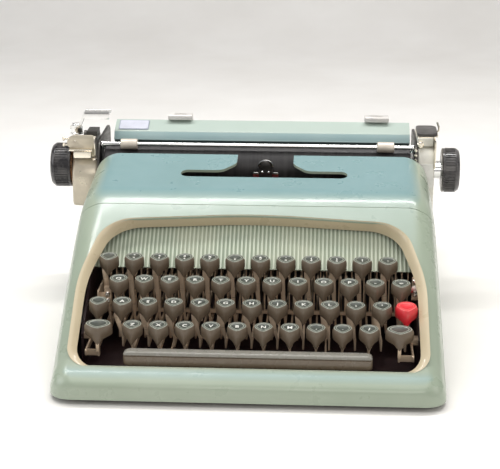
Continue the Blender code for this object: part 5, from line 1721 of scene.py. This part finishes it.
right_inner = PLATEN_RIGHT_X + BAIL_SPACE


def end_outline(front_radius, drop=0.0):
    return rounded(
        [
            (PLATE_FRONT_Y, PLATE_BOTTOM_Z, 0.004, 3),
            (PLATE_REAR_Y, PLATE_BOTTOM_Z, 0.004, 3),
            (PLATE_REAR_Y, PLATE_TOP_Z - drop, 0.008, 6),
            (PLATE_FRONT_Y, PLATE_TOP_Z - drop, front_radius, 14),
        ]
    )


def satin(name, tint, roughness):
    """Satin plate or thick paint with a warm bloom and dull handling marks."""
    finish, tree, shader, place = new_finish(name, roughness, 0.35)
    clouds = ramp(tree, cloudy(tree, place, 45.0, 4.0), 0.35, 0.7)
    colour = blend(tree, clouds, (*tint, 1), tuple(part * 0.72 for part in tint) + (1,))
    dress(tree, shader, colour, ramp(tree, clouds, 0, 1, roughness * 0.8, roughness * 1.3))
    roughen(tree, shader, cloudy(tree, place, 600.0), 0.1, 0.0001)
    return finish


def hole(radius):
    return circle(PLATEN_Y, PLATEN_Z, radius, 32)


def fit_carriage(name, mesh, finish, stands_for=(), sharp=35):
    """Fixes a piece to the carriage."""
    return fit(name, mesh, "carriage", [finish], stands_for, at_carriage, sharp)


def make_carriage_frame(nickel, ivory, dark):
    bm = box(
        (left_inner - 0.004, RAIL_Y - RAIL_DEPTH / 2, PLATE_BOTTOM_Z),
        (right_inner + 0.004, PLATE_REAR_Y - 0.001, PLATE_BOTTOM_Z + TRUCK_HEIGHT),
        0.0006,
    )
    for x in (left_inner - 0.0010, right_inner + 0.0010):
        join(bm, plate([end_outline(0.016), hole(WALL_HOLE)], 0.0020, side_plane(x), 0.0002))
    fit_carriage("carriage_walls", bm, dark, stands_for=["carriage_frame"])
    wide = LEFT_PLATE - 0.0022
    place = side_plane(left_inner - 0.0020 - wide / 2)
    drum = plate([end_outline(0.020, 0.0125), hole(END_HOLE)], wide, place, 0.0022)
    fit_carriage("ratchet_cover", drum, nickel, sharp=50)
    wide = RIGHT_PLATE - 0.0022
    place = side_plane(right_inner + 0.0022 + wide / 2)
    cheek = plate([end_outline(0.018, 0.0010), hole(END_HOLE)], wide, place, 0.0012)
    fit_carriage("right_housing", cheek, ivory, sharp=50)


def make_left_end(plate_metal, polished, dark):
    """The line-space pawl's upright plate, its polished ledge and the catches beside it."""
    fit_carriage("left_ledge", join(*(box(*block) for block in LEFT_LEDGE)), polished)
    outlines = [rounded(LEFT_UPRIGHT), circle(*LEFT_UPRIGHT_HOLE)]
    pawl = plate(outlines, 0.0016, cross_plane(LEFT_END_Y - 0.0015), 0.0003)
    fit_carriage("left_upright", join(pawl, box(*LEFT_BRACE)), plate_metal)
    catch = join(*(box(*block) for block in LEFT_CATCH))
    join(catch, plate([circle(*CATCH_WHEEL)], 0.0022, side_plane(-0.1418), 0.0004))
    fit_carriage("left_catch", catch, dark)
    bits = turned(bmesh.new(), GAUGE_ROD, Matrix.Translation((-0.1325, 0.2262, 0.1188)), 16)
    for z in END_SCREW_HEIGHTS:
        turned(bits, END_SCREW, along_x(-0.1535, LEFT_END_Y, z, -1), 18)
    turned(bits, GAUGE_FOOT, Matrix.Translation((-0.1330, 0.2250, 0.1150)), 18)
    fit_carriage("left_posts", bits, polished)


def leaf(low, high, radii):
    """An outline between two corners, rounded less at its left end than at its right."""
    (left, front), (right, rear), (small, large) = low, high, radii
    return rounded(
        [
            (left, front, small, 6),
            (right, front, large, 8),
            (right, rear, large, 8),
            (left, rear, small, 6),
        ]
    )


def make_right_end(white, cream, dark, polished):
    """The release lever's plate over the ivory housing, its button, edge strip and wire hook."""
    low, high = right_inner + 0.0030, right_inner + RIGHT_PLATE - 0.0010
    panel = box((low, PLATE_FRONT_Y - 0.0006, 0.0960), (high, PLATE_FRONT_Y + 0.0030, 0.1160), 0.0005)
    fit_carriage("right_front_panel", panel, white)
    block = box((low - 0.0010, 0.2300, 0.1290), (high, 0.2620, 0.1358), 0.0008)
    fit_carriage("right_top_block", block, cream)
    strip = box((high + 0.0006, 0.2212, 0.1120), (high + 0.0018, 0.2600, 0.1345), 0.0003)
    join(strip, plate([leaf(*RELEASE_TRAY)], 0.0008, Matrix.Translation((0, 0, 0.1362)), 0.0002))
    fit_carriage("right_strips", strip, polished)
    lever_plate = plate([leaf(*RELEASE_PLATE)], 0.0026, Matrix.Translation((0, 0, 0.1380)), 0.0008)
    fit_carriage("release_lever_plate", lever_plate, dark, sharp=50)
    bits = turned(bmesh.new(), RELEASE_BUTTON, along_y(0.1375, 0.2300, 0.1315), 28)
    for z in PANEL_SCREW_HEIGHTS:
        turned(bits, PANEL_SCREW, along_y(0.1338, 0.2236, z), 14)
    fit_carriage("right_button", bits, polished)
    fit_carriage(
        "right_hook", wire([(x, HOOK_Y, z) for x, z in HOOK_LINE], HOOK_RADIUS), polished
    )


nickel = satin("satin_nickel", (0.68, 0.61, 0.49), 0.34)
ivory = satin("ivory_paint", (0.84, 0.82, 0.74), 0.42)
make_carriage_frame(nickel, ivory, dark_steel)
polished_nickel = plain_metal("polished_nickel", (0.88, 0.82, 0.70), 0.18)
panel_white = satin("panel_white", (0.90, 0.89, 0.84), 0.36)
grip_grey = satin("grip_grey", (0.080, 0.074, 0.072), 0.38)
make_left_end(nickel, polished_nickel, dark_steel)
make_right_end(panel_white, ivory, grip_grey, polished_nickel)

# --- Return lever ---
# One folded strip of chromed steel, screwed to a boss over the left end; it hinges on the boss and
# carries a turned-down finger plate.
RETURN_PIVOT = (-0.1515, 0.2500)
RETURN_GAP = 0.0003
RETURN_TOP = 0.0195
RETURN_END = 0.0290
RETURN_STEEL = 0.0014
RETURN_STRIP = 0.0094
RETURN_PLATE_X = 0.0078
RETURN_PLATE_HALF = 0.0070
BOSS_HEIGHT = 0.0058
BOSS = [
    (0.0, 0.0), (0.0055, 0.0), (0.0055, 0.0008), (0.0050, 0.0012), (0.0050, BOSS_HEIGHT), (0.0, BOSS_HEIGHT)
]
BOSS_SCREW = [(0.0, 0.0), (0.0034, 0.0), (0.0034, 0.0010), (0.0028, 0.0016), (0.0, 0.0018)]


def make_return_lever(metal):
    """Drawn from the pivot, foot of the boss at height nought."""
    top, end, steel = RETURN_TOP, RETURN_END, RETURN_STEEL
    low, near, half = BOSS_HEIGHT, RETURN_PLATE_X, RETURN_PLATE_HALF
    bm = turned(bmesh.new(), BOSS, sides=36)
    folded = [
        (-0.0046, low),
        (0.0032, low),
        (0.0085, top - steel),
        (end, top - steel),
        (end, top),
        (0.0075, top),
        (0.0024, low + steel),
        (-0.0046, low + steel),
    ]
    join(
        bm,
        plate([rounded([(*point, 0.0008, 3) for point in folded])], RETURN_STRIP, cross_plane(0), 0.0003),
        box((near, -half, top - steel), (end, half, top), 0.0004),
        box((near, -half, top - 0.0056), (end, steel - half, top - 0.0002), 0.0004),
        box((near, 0.0004 - half, top - 0.0030), (near + steel, half - 0.0004, top - 0.0002), 0.0004),
    )
    turned(bm, BOSS_SCREW, Matrix.Translation((0, 0, low + steel)), 28)
    seat = Matrix.Translation((*RETURN_PIVOT, PLATE_TOP_Z + RETURN_GAP))
    fit("return_lever_strip", bm, "return_lever", [metal], ["return_lever"], at_carriage @ seat)


make_return_lever(chrome)

# --- Platen and knobs ---
# A ground rubber roller on a steel axle, turned by a grooved black knob at each end; the ratchet
# wheel sits between the roller and the left knob.
KNOB_RADIUS = 0.0187
KNOB_OUTER_X = 0.1710
KNOB_WIDTHS = {-1: 0.0172, 1: 0.0144}
KNOB_GROOVES = 48
KNOB_BUTTON = [(0.0, 0.0), (0.0042, 0.0), (0.0042, 0.0009), (0.0036, 0.0016), (0.0, 0.0017)]
RATCHET_RADIUS = 0.0172
RATCHET_THICKNESS = 0.0007
HUB_RADIUS = 0.0075
HUB_LENGTH = 0.0060


def platen_rubber():
    """Old black rubber, ground smooth, with faint rings of type wear round it."""
    finish, tree, shader, place = new_finish("platen_rubber", 0.5)
    stretched = put(tree, "ShaderNodeMapping", {"Vector": place, "Scale": (420.0, 12.0, 12.0)}).outputs[0]
    rings = put(
        tree, "ShaderNodeTexNoise", {"Vector": stretched, "Scale": 1.0, "Detail": 2.0}
    ).outputs["Fac"]
    colour = blend(tree, ramp(tree, rings, 0.3, 0.7), (0.012, 0.011, 0.012, 1), (0.040, 0.037, 0.038, 1))
    dress(tree, shader, colour, ramp(tree, rings, 0.3, 0.7, 0.38, 0.58))
    return finish


def knob_black():
    finish, tree, shader, place = new_finish("knob_black", 0.34, coat_weight=0.3)
    grey = ramp(tree, cloudy(tree, place, 130.0, 5.0), 0.42, 0.72)
    colour = blend(tree, grey, (0.030, 0.028, 0.030, 1), (0.105, 0.098, 0.096, 1))
    dress(tree, shader, colour, ramp(tree, grey, 0, 1, 0.24, 0.5))
    roughen(tree, shader, cloudy(tree, place, 900.0), 0.15, 0.0002)
    return finish


def fit_platen(name, mesh, finish, stands_for=()):
    """Fixes a piece to the platen's axle."""
    return fit(name, mesh, "platen", [finish], stands_for, at_carriage)


def spindle(radius, length, edge, place, sides):
    """A solid rod or roller with its end edges broken."""
    outline = [
        (0.0, 0.0),
        (radius - edge, 0.0),
        (radius, edge),
        (radius, length - edge),
        (radius - edge, length),
        (0.0, length),
    ]
    return turned(bmesh.new(), outline, place, sides)


def make_knob(name, side, finish, metal):
    width = KNOB_WIDTHS[side]
    shape = [
        (0.0, 0.0003),
        (KNOB_RADIUS * 0.55, 0.0),
        (KNOB_RADIUS * 0.93, 0.0),
        (KNOB_RADIUS * 0.985, 0.0006),
        (KNOB_RADIUS * 0.985, 0.0016),
        (KNOB_RADIUS * 0.955, 0.0020),
        (KNOB_RADIUS * 0.955, width - 0.0042),
        (KNOB_RADIUS * 0.985, width - 0.0038),
        (KNOB_RADIUS * 0.98, width - 0.0028),
        (KNOB_RADIUS * 0.88, width - 0.0004),
        (KNOB_RADIUS * 0.82, width),
        (KNOB_RADIUS * 0.74, width - 0.0002),
        (KNOB_RADIUS * 0.66, width - 0.0016),
        (KNOB_RADIUS * 0.30, width - 0.0020),
        (0.0, width - 0.0020),
    ]
    place = along_x(side * (KNOB_OUTER_X - width), PLATEN_Y, PLATEN_Z, side)
    fit_platen(f"knob_{name}", turned(bmesh.new(), shape, place, 64), finish)
    size = (0.0011, width - 0.0064, 0.0009)
    span = 2 * math.pi * (KNOB_GROOVES - 1) / KNOB_GROOVES
    middle = (0.0, 0.0, 0.0)
    grips = fan(f"knob_grips_{name}", finish, KNOB_GROOVES, KNOB_RADIUS * 0.962, 0.0, span, size, middle)
    middle_x = side * (KNOB_OUTER_X - width / 2 - 0.0006)
    grips.transform(
        Matrix.Translation((middle_x, PLATEN_Y, PLATEN_Z)) @ Matrix.Rotation(math.pi / 2, 4, "Z")
    )
    fit_platen(f"knob_grips_{name}", grips, finish)
    place = along_x(side * (KNOB_OUTER_X - 0.0020), PLATEN_Y, PLATEN_Z, side)
    fit_platen(f"knob_button_{name}", turned(bmesh.new(), KNOB_BUTTON, place, 24), metal)


def make_platen(rubber, metal, copper):
    length = PLATEN_RIGHT_X - PLATEN_LEFT_X
    roller = spindle(PLATEN_RADIUS, length, 0.0006, along_x(PLATEN_LEFT_X, PLATEN_Y, PLATEN_Z), 72)
    fit_platen("platen_roller", roller, rubber, ["platen"])
    reach = KNOB_OUTER_X - 0.008
    shaft = [(0.0, 0.0), (AXLE_RADIUS, 0.0), (AXLE_RADIUS, 2 * reach), (0.0, 2 * reach)]
    axle = turned(bmesh.new(), shaft, along_x(-reach, PLATEN_Y, PLATEN_Z), 28)
    bore = AXLE_RADIUS - 0.0002
    ring = [
        (bore, 0.0),
        (HUB_RADIUS - 0.0003, 0.0),
        (HUB_RADIUS, 0.0003),
        (HUB_RADIUS, HUB_LENGTH - 0.0004),
        (HUB_RADIUS - 0.0003, HUB_LENGTH),
        (bore, HUB_LENGTH),
    ]
    hub_x = right_inner + RIGHT_PLATE + 0.0006
    hub = turned(bmesh.new(), ring, along_x(hub_x, PLATEN_Y, PLATEN_Z), 32)
    fit_platen("platen_axle", join(axle, hub), metal)
    disc = [
        (bore, 0.0),
        (RATCHET_RADIUS - 0.0004, 0.0),
        (RATCHET_RADIUS, 0.0003),
        (RATCHET_RADIUS - 0.0004, RATCHET_THICKNESS),
        (bore, RATCHET_THICKNESS),
    ]
    wheel_x = KNOB_WIDTHS[-1] - KNOB_OUTER_X + 0.0002
    wheel = turned(bmesh.new(), disc, along_x(wheel_x, PLATEN_Y, PLATEN_Z), 48)
    fit_platen("ratchet_disc", wheel, copper)


copper = plain_metal("copper_plate", (0.72, 0.42, 0.26), 0.25)
make_platen(platen_rubber(), chrome, copper)
knob_paint = knob_black()
make_knob("left", -1, knob_paint, chrome)
make_knob("right", 1, knob_paint, chrome)

# --- Paper bail ---
# A polished rod across the platen with two ivory rollers, on spring arms that tip back to let the
# paper in.
BAIL_ANGLE = math.radians(117)
BAIL_ROD_RADIUS = 0.0018
BAIL_ROLLER_RADIUS = 0.0044
BAIL_ROLLER_LENGTH = 0.0140
BAIL_ROLLER_INSET = 0.0155
BAIL_PIVOT = (0.2620, 0.1165)
BAIL_ARM_HALF = 0.0030
BAIL_PIN = [(0.0, 0.0), (0.0024, 0.0), (0.0024, 0.0008), (0.0017, 0.0012), (0.0017, 0.0042), (0.0, 0.0042)]
bail_reach = PLATEN_RADIUS + BAIL_ROLLER_RADIUS + 0.0003
bail_y = PLATEN_Y + bail_reach * math.cos(BAIL_ANGLE)
bail_z = PLATEN_Z + bail_reach * math.sin(BAIL_ANGLE)


def make_bail(metal, ivory):
    left_x = PLATEN_LEFT_X - BAIL_SPACE / 2
    right_x = PLATEN_RIGHT_X + BAIL_SPACE / 2
    rod = spindle(BAIL_ROD_RADIUS, right_x - left_x, 0.0003, along_x(left_x, bail_y, bail_z), 24)
    y, z = bail_y - BAIL_PIVOT[0], bail_z - BAIL_PIVOT[1]
    half = BAIL_ARM_HALF
    tip = math.hypot(y, z) + half
    arm = rounded(
        [
            (-half, -half, half * 0.95, 6),
            (tip, -half * 0.8, half * 0.7, 6),
            (tip, half * 0.8, half * 0.7, 6),
            (-half, half, half * 0.95, 6),
        ]
    )
    for side, x in ((-1, left_x), (1, right_x)):
        place = Matrix.Translation((0, *BAIL_PIVOT)) @ side_plane(x) @ Matrix.Rotation(
            math.atan2(z, y), 4, "Z"
        )
        join(rod, plate([arm], 0.0015, place, 0.0003))
        turned(rod, BAIL_PIN, along_x(x - side * 0.0014, *BAIL_PIVOT, side), 18)
    fit("bail_rod", rod, "paper_bail", [metal], ["paper_bail"], at_carriage)
    rollers = bmesh.new()
    wide, radius, bore = BAIL_ROLLER_LENGTH, BAIL_ROLLER_RADIUS, BAIL_ROD_RADIUS + 0.0001
    half_shape = [(bore, 0.0), (radius * 0.86, 0.0), (radius * 0.97, 0.0004), (radius, 0.0012)]
    shape = half_shape + [(reach, wide - along) for reach, along in half_shape[::-1]]
    for start in (left_x + BAIL_ROLLER_INSET, right_x - BAIL_ROLLER_INSET - wide):
        turned(rollers, shape, along_x(start, bail_y, bail_z), 32)
    fit("bail_rollers", rollers, "paper_bail", [ivory], matrix=at_carriage)


roller_ivory = satin("roller_ivory", (0.78, 0.70, 0.60), 0.45)
make_bail(chrome, roller_ivory)

# --- Paper table ---
# A painted sheet bent up behind the platen and over to an upper leaf painted lighter as lit, the steeper
# part below painted darker as shaded; its top edge turned for stiffness; a blank enamel label sits at its
# left end.
TABLE_LEFT_X = -0.1200
TABLE_CREASE = (0.2555, 0.1323)
TABLE_TOP = (0.2707, 0.1382)
TABLE_THICKNESS = 0.0015
TABLE_PLATEN_GAP = 0.0032
LABEL_HALF = (0.0128, 0.0068)


def table_line():
    """(y, z) down the table and round behind the platen to its foot on the truck."""
    radius = PLATEN_RADIUS + TABLE_PLATEN_GAP
    (top_y, top_z), (crease_y, crease_z) = TABLE_TOP, TABLE_CREASE
    line = [(top_y + 0.0008, top_z - 0.0022), (top_y + 0.0008, top_z - 0.0006), (top_y, top_z)]
    line += [(top_y + (crease_y - top_y) * k / 5, top_z + (crease_z - top_z) * k / 5) for k in range(1, 6)]
    for step in range(15):
        angle = math.radians(64 - 64 * step / 14)
        line.append((PLATEN_Y + radius * math.cos(angle), PLATEN_Z + radius * math.sin(angle)))
    foot_z = PLATE_BOTTOM_Z + TRUCK_HEIGHT + 0.0003 + TABLE_THICKNESS
    return line + [(PLATEN_Y + radius + 0.001, foot_z), (PLATE_REAR_Y - 0.004, foot_z)]


def table_paint():
    """Painted light: paler green on the upper leaf, which faces the light, darker blue below the crease,
    which is shaded; rubbed along the top edge.
    """
    finish, tree, shader, place = new_finish("table_paint", 0.3, coat_weight=0.3)
    split = put(tree, "ShaderNodeSeparateXYZ", {0: place})
    crease = FOOT_HEIGHT + TABLE_CREASE[1]
    share = ramp(tree, split.outputs["Z"], crease - 0.0004, crease + 0.0004)
    # Painted light and shade: one paint, lit above the crease and shaded below it.
    colour = blend(tree, share, (0.25, 0.37, 0.38, 1), (0.42, 0.50, 0.45, 1))
    clouds = ramp(tree, cloudy(tree, place, 25.0, 4.0), 0.35, 0.7, 0.0, 0.2)
    colour = blend(tree, clouds, colour, (0.55, 0.63, 0.58, 1))
    chips = ramp(tree, cloudy(tree, place, 240.0, 5.0, 0.7), 0.66, 0.70, 0.0, 0.6)
    edge = ramp(
        tree, split.outputs["Z"], FOOT_HEIGHT + TABLE_TOP[1] - 0.0002, FOOT_HEIGHT + TABLE_TOP[1] + 0.0006
    )
    worn = put(tree, "ShaderNodeMath", {0: chips, 1: edge}, operation="MULTIPLY").outputs[0]
    colour = blend(tree, worn, colour, (0.20, 0.19, 0.17, 1))
    dress(tree, shader, colour)
    roughen(tree, shader, cloudy(tree, place, 700.0), 0.1, 0.0002)
    return finish


def make_paper_table(paint):
    left, right = TABLE_LEFT_X, PLATEN_RIGHT_X + 0.0003
    bm = bmesh.new()
    rows = [
        [bm.verts.new((left + (right - left) * k / 8, y, z)) for k in range(9)] for y, z in table_line()
    ]
    for low, high in zip(rows, rows[1:]):
        for i in range(8):
            bm.faces.new((low[i], low[i + 1], high[i + 1], high[i]))
    mesh = bpy.data.meshes.new("paper_table")
    bm.to_mesh(mesh)
    bm.free()
    table = add("paper_table", mesh)
    sheet = table.modifiers.new("sheet", "SOLIDIFY")
    sheet.thickness = TABLE_THICKNESS - 0.0003
    sheet.offset = 0
    sheet.use_even_offset = True
    round_edge = table.modifiers.new("round_edge", "BEVEL")
    round_edge.width = 0.0003
    round_edge.segments = 2
    round_edge.limit_method = "ANGLE"
    fit_carriage("paper_table_sheet", finished(table), paint, ["paper_table"], 25)


def make_label(white, border):
    """A blank plate pinned flat on the upper leaf."""
    (top_y, top_z), (crease_y, crease_z) = TABLE_TOP, TABLE_CREASE
    slope = math.atan2(top_z - crease_z, top_y - crease_y)
    middle = ((top_y + crease_y) / 2, (top_z + crease_z) / 2)
    place = Matrix.Translation((TABLE_LEFT_X + 0.0160, *middle)) @ Matrix.Rotation(slope, 4, "X")
    for name, inset, lift, finish in (
        ("label_border", 0.0, 0.00095, border),
        ("label_face", 0.0008, 0.00112, white),
    ):
        x, y = (half - inset for half in LABEL_HALF)
        outline = rounded([(*corner, 0.001, 3) for corner in ((-x, -y), (x, -y), (x, y), (-x, y))])
        bm = plate([outline], 0.0004, place @ Matrix.Translation((0, 0, lift)), 0.0)
        fit_carriage(name, bm, finish)


make_paper_table(table_paint())
label_white = satin("label_white", (0.74, 0.76, 0.86), 0.35)
label_grey = satin("label_grey", (0.42, 0.46, 0.55), 0.35)
make_label(label_white, label_grey)

# --- Margin stops and rack ---
# White sliders that clip over the table's top edge and run on a toothed steel rack behind it; they
# set where the carriage stops at each end of a line. The rack is screwed to the table's brackets.
STOP_WIDTH = 0.0205
STOP_HEIGHT = 0.0100
STOP_XS = {"left": -0.0650, "right": 0.1025}
STOP_RIDGES = 7
STOP_RIDGE_STEP = 0.0015
RACK_TOP_Z = 0.1334
RACK_STEP = 0.0032
RACK_HEIGHT = 0.0042
TABLE_SCREW = [(0.0, 0.0), (0.0026, 0.0), (0.0026, 0.0006), (0.0018, 0.0014), (0.0, 0.0016)]
TABLE_BRACKET_XS = (-0.0900, -0.0300, 0.0400, 0.1000)
TABLE_SCREW_HEIGHTS = (0.0880, 0.0985)


def make_margin_stop(name, x, white, metal):
    edge_y, edge_z = TABLE_TOP
    clear = TABLE_THICKNESS / 2 + 0.0009
    top = edge_z + STOP_HEIGHT * 0.6
    bottom = top - STOP_HEIGHT
    outline = rounded(
        [
            (edge_y - 0.005, edge_z + clear, 0.0005, 2),
            (edge_y + clear, edge_z + clear, 0, 1),
            (edge_y + clear, bottom, 0.0005, 2),
            (edge_y + clear + 0.0045, bottom, 0.0012, 4),
            (edge_y + clear + 0.0045, top, 0.0018, 6),
            (edge_y - 0.005, top, 0.0012, 4),
        ]
    )
    body = f"margin_stop_{name}"
    slider = plate([outline], STOP_WIDTH, side_plane(x), 0.0006)
    fit(f"margin_slider_{name}", slider, body, [white], [body], at_carriage)
    inputs = {
        "Count": STOP_RIDGES,
        "Start": (x - STOP_RIDGE_STEP * (STOP_RIDGES - 1) / 2, edge_y - 0.0012, top + 0.0001),
        "Step": (STOP_RIDGE_STEP, 0.0, 0.0),
        "Size": (0.0006, 0.0052, 0.0006),
        "Finish": metal,
    }
    ridges = grow(f"margin_ridges_{name}", inputs, blocks_tree)
    fit(f"margin_ridges_{name}", ridges, body, [metal], matrix=at_carriage)


def make_rack(metal, dark):
    """The toothed bar behind the table, and the brackets and screws that hold both to the truck."""
    left, right = TABLE_LEFT_X + 0.0015, PLATEN_RIGHT_X - 0.0015
    y, z = TABLE_TOP[0] + 0.0035, RACK_TOP_Z
    bar = box((left, y, z - RACK_HEIGHT), (right, y + 0.0016, z), 0.0002)
    for x in (left + 0.002, right - 0.005):
        join(bar, box((x, y - 0.0030, z - 0.0038), (x + 0.003, y + 0.0010, z - 0.0004), 0.0002))
    fit_carriage("margin_rack", bar, metal)
    count = int((right - left) / RACK_STEP)
    inputs = {
        "Count": count,
        "Start": (left + RACK_STEP / 2, y + 0.0020, z - 0.0014),
        "Step": (RACK_STEP, 0.0, 0.0),
        "Size": (RACK_STEP * 0.55, 0.0012, 0.0024),
        "Finish": metal,
    }
    fit_carriage("margin_rack_teeth", grow("margin_rack_teeth", inputs, blocks_tree), metal)
    back_y = PLATEN_Y + PLATEN_RADIUS + TABLE_PLATEN_GAP + TABLE_THICKNESS / 2
    ribs, screws = bmesh.new(), bmesh.new()
    for x in TABLE_BRACKET_XS:
        join(
            ribs, box((x - 0.0060, back_y - 0.0002, 0.0840), (x + 0.0060, back_y + 0.0012, 0.1030), 0.0006)
        )
        for rise in TABLE_SCREW_HEIGHTS:
            turned(screws, TABLE_SCREW, along_y(x, back_y + 0.0011, rise, -1), 18)
    fit_carriage("table_brackets", ribs, dark)
    fit_carriage("table_bracket_screws", screws, metal)


stop_white = satin("stop_white", (0.86, 0.83, 0.80), 0.38)
for stop_name, stop_x in STOP_XS.items():
    make_margin_stop(stop_name, stop_x, stop_white, bright_steel)
make_rack(bright_steel, dark_steel)

# --- Rail and underside ---
# The steel rail screwed across the side frames, with the balls that the truck rolls on, and the
# screws and pressed ribs of the pan beneath.
RAIL_TOP_Z = 0.0720
RAIL_HALF = 0.1180
RAIL_GROOVE = 0.0070
RAIL_FACE_HALF = 0.0030
BALLS = 14
BALL_RADIUS = 0.0012
PAN_FLOOR_Z = 0.0005
PAN_EDGE = 0.0150
PAN_SCREWS = 4
PAN_SCREW_STEP = 0.0640
PAN_RIBS = 9
PAN_RIB_STEP = 0.0200
PAN_RIB = (0.0050, 0.0900, 0.0012)


def balls_tree(tree, given):
    """A row of small steel balls."""
    ball = put(tree, "GeometryNodeMeshIcoSphere", {"Radius": given["Radius"], "Subdivisions": 2}).outputs[0]
    return line_of(tree, given, ball)


def make_rail(bright):
    """Ground faces let into the rail, with the balls that the truck rolls on."""
    reach = RAIL_HALF
    for number, y in enumerate((RAIL_Y - RAIL_GROOVE, RAIL_Y + RAIL_GROOVE)):
        face = box(
            (-reach, y - RAIL_FACE_HALF, RAIL_TOP_Z - 0.0004),
            (reach, y + RAIL_FACE_HALF, RAIL_TOP_Z + 0.0001),
            0.0001,
        )
        fit(f"rail_face_{number}", face, "base", [bright])
        inputs = {
            "Count": BALLS,
            "Start": (-reach * 0.9, y, RAIL_TOP_Z + BALL_RADIUS),
            "Step": (reach * 1.8 / (BALLS - 1), 0.0, 0.0),
            "Radius": BALL_RADIUS,
            "Finish": bright,
        }
        fit(
            f"rail_balls_{number}",
            grow(f"rail_balls_{number}", inputs, balls_tree),
            "base",
            [bright],
        )


def screws_tree(tree, given):
    """A row of flat screw heads seen from below."""
    sockets = {"Vertices": 20, "Side Segments": 1, "Radius": given["Radius"], "Depth": given["Depth"]}
    return line_of(tree, given, put(tree, "GeometryNodeMeshCylinder", sockets).outputs[0])


def make_underside(metal, dark):
    """Screws round the pan's edge, and the stiffening ribs pressed into its floor."""
    for number, y in enumerate((PAN_EDGE, CASE_DEPTH / 2, CASE_DEPTH - PAN_EDGE)):
        inputs = {
            "Count": PAN_SCREWS,
            "Start": (-PAN_SCREW_STEP * (PAN_SCREWS - 1) / 2, y, PAN_FLOOR_Z - 0.0003),
            "Step": (PAN_SCREW_STEP, 0.0, 0.0),
            "Radius": 0.0032,
            "Depth": 0.0010,
            "Finish": metal,
        }
        fit(
            f"pan_screws_{number}",
            grow(f"pan_screws_{number}", inputs, screws_tree),
            "base",
            [metal],
        )
    inputs = {
        "Count": PAN_RIBS,
        "Start": (-PAN_RIB_STEP * (PAN_RIBS - 1) / 2, CASE_DEPTH * 0.30, PAN_FLOOR_Z),
        "Step": (PAN_RIB_STEP, 0.0, 0.0),
        "Size": PAN_RIB,
        "Finish": dark,
    }
    fit("pan_ribs", grow("pan_ribs", inputs, blocks_tree), "base", [dark])


make_rail(bright_steel)
make_underside(bright_steel, enamel)
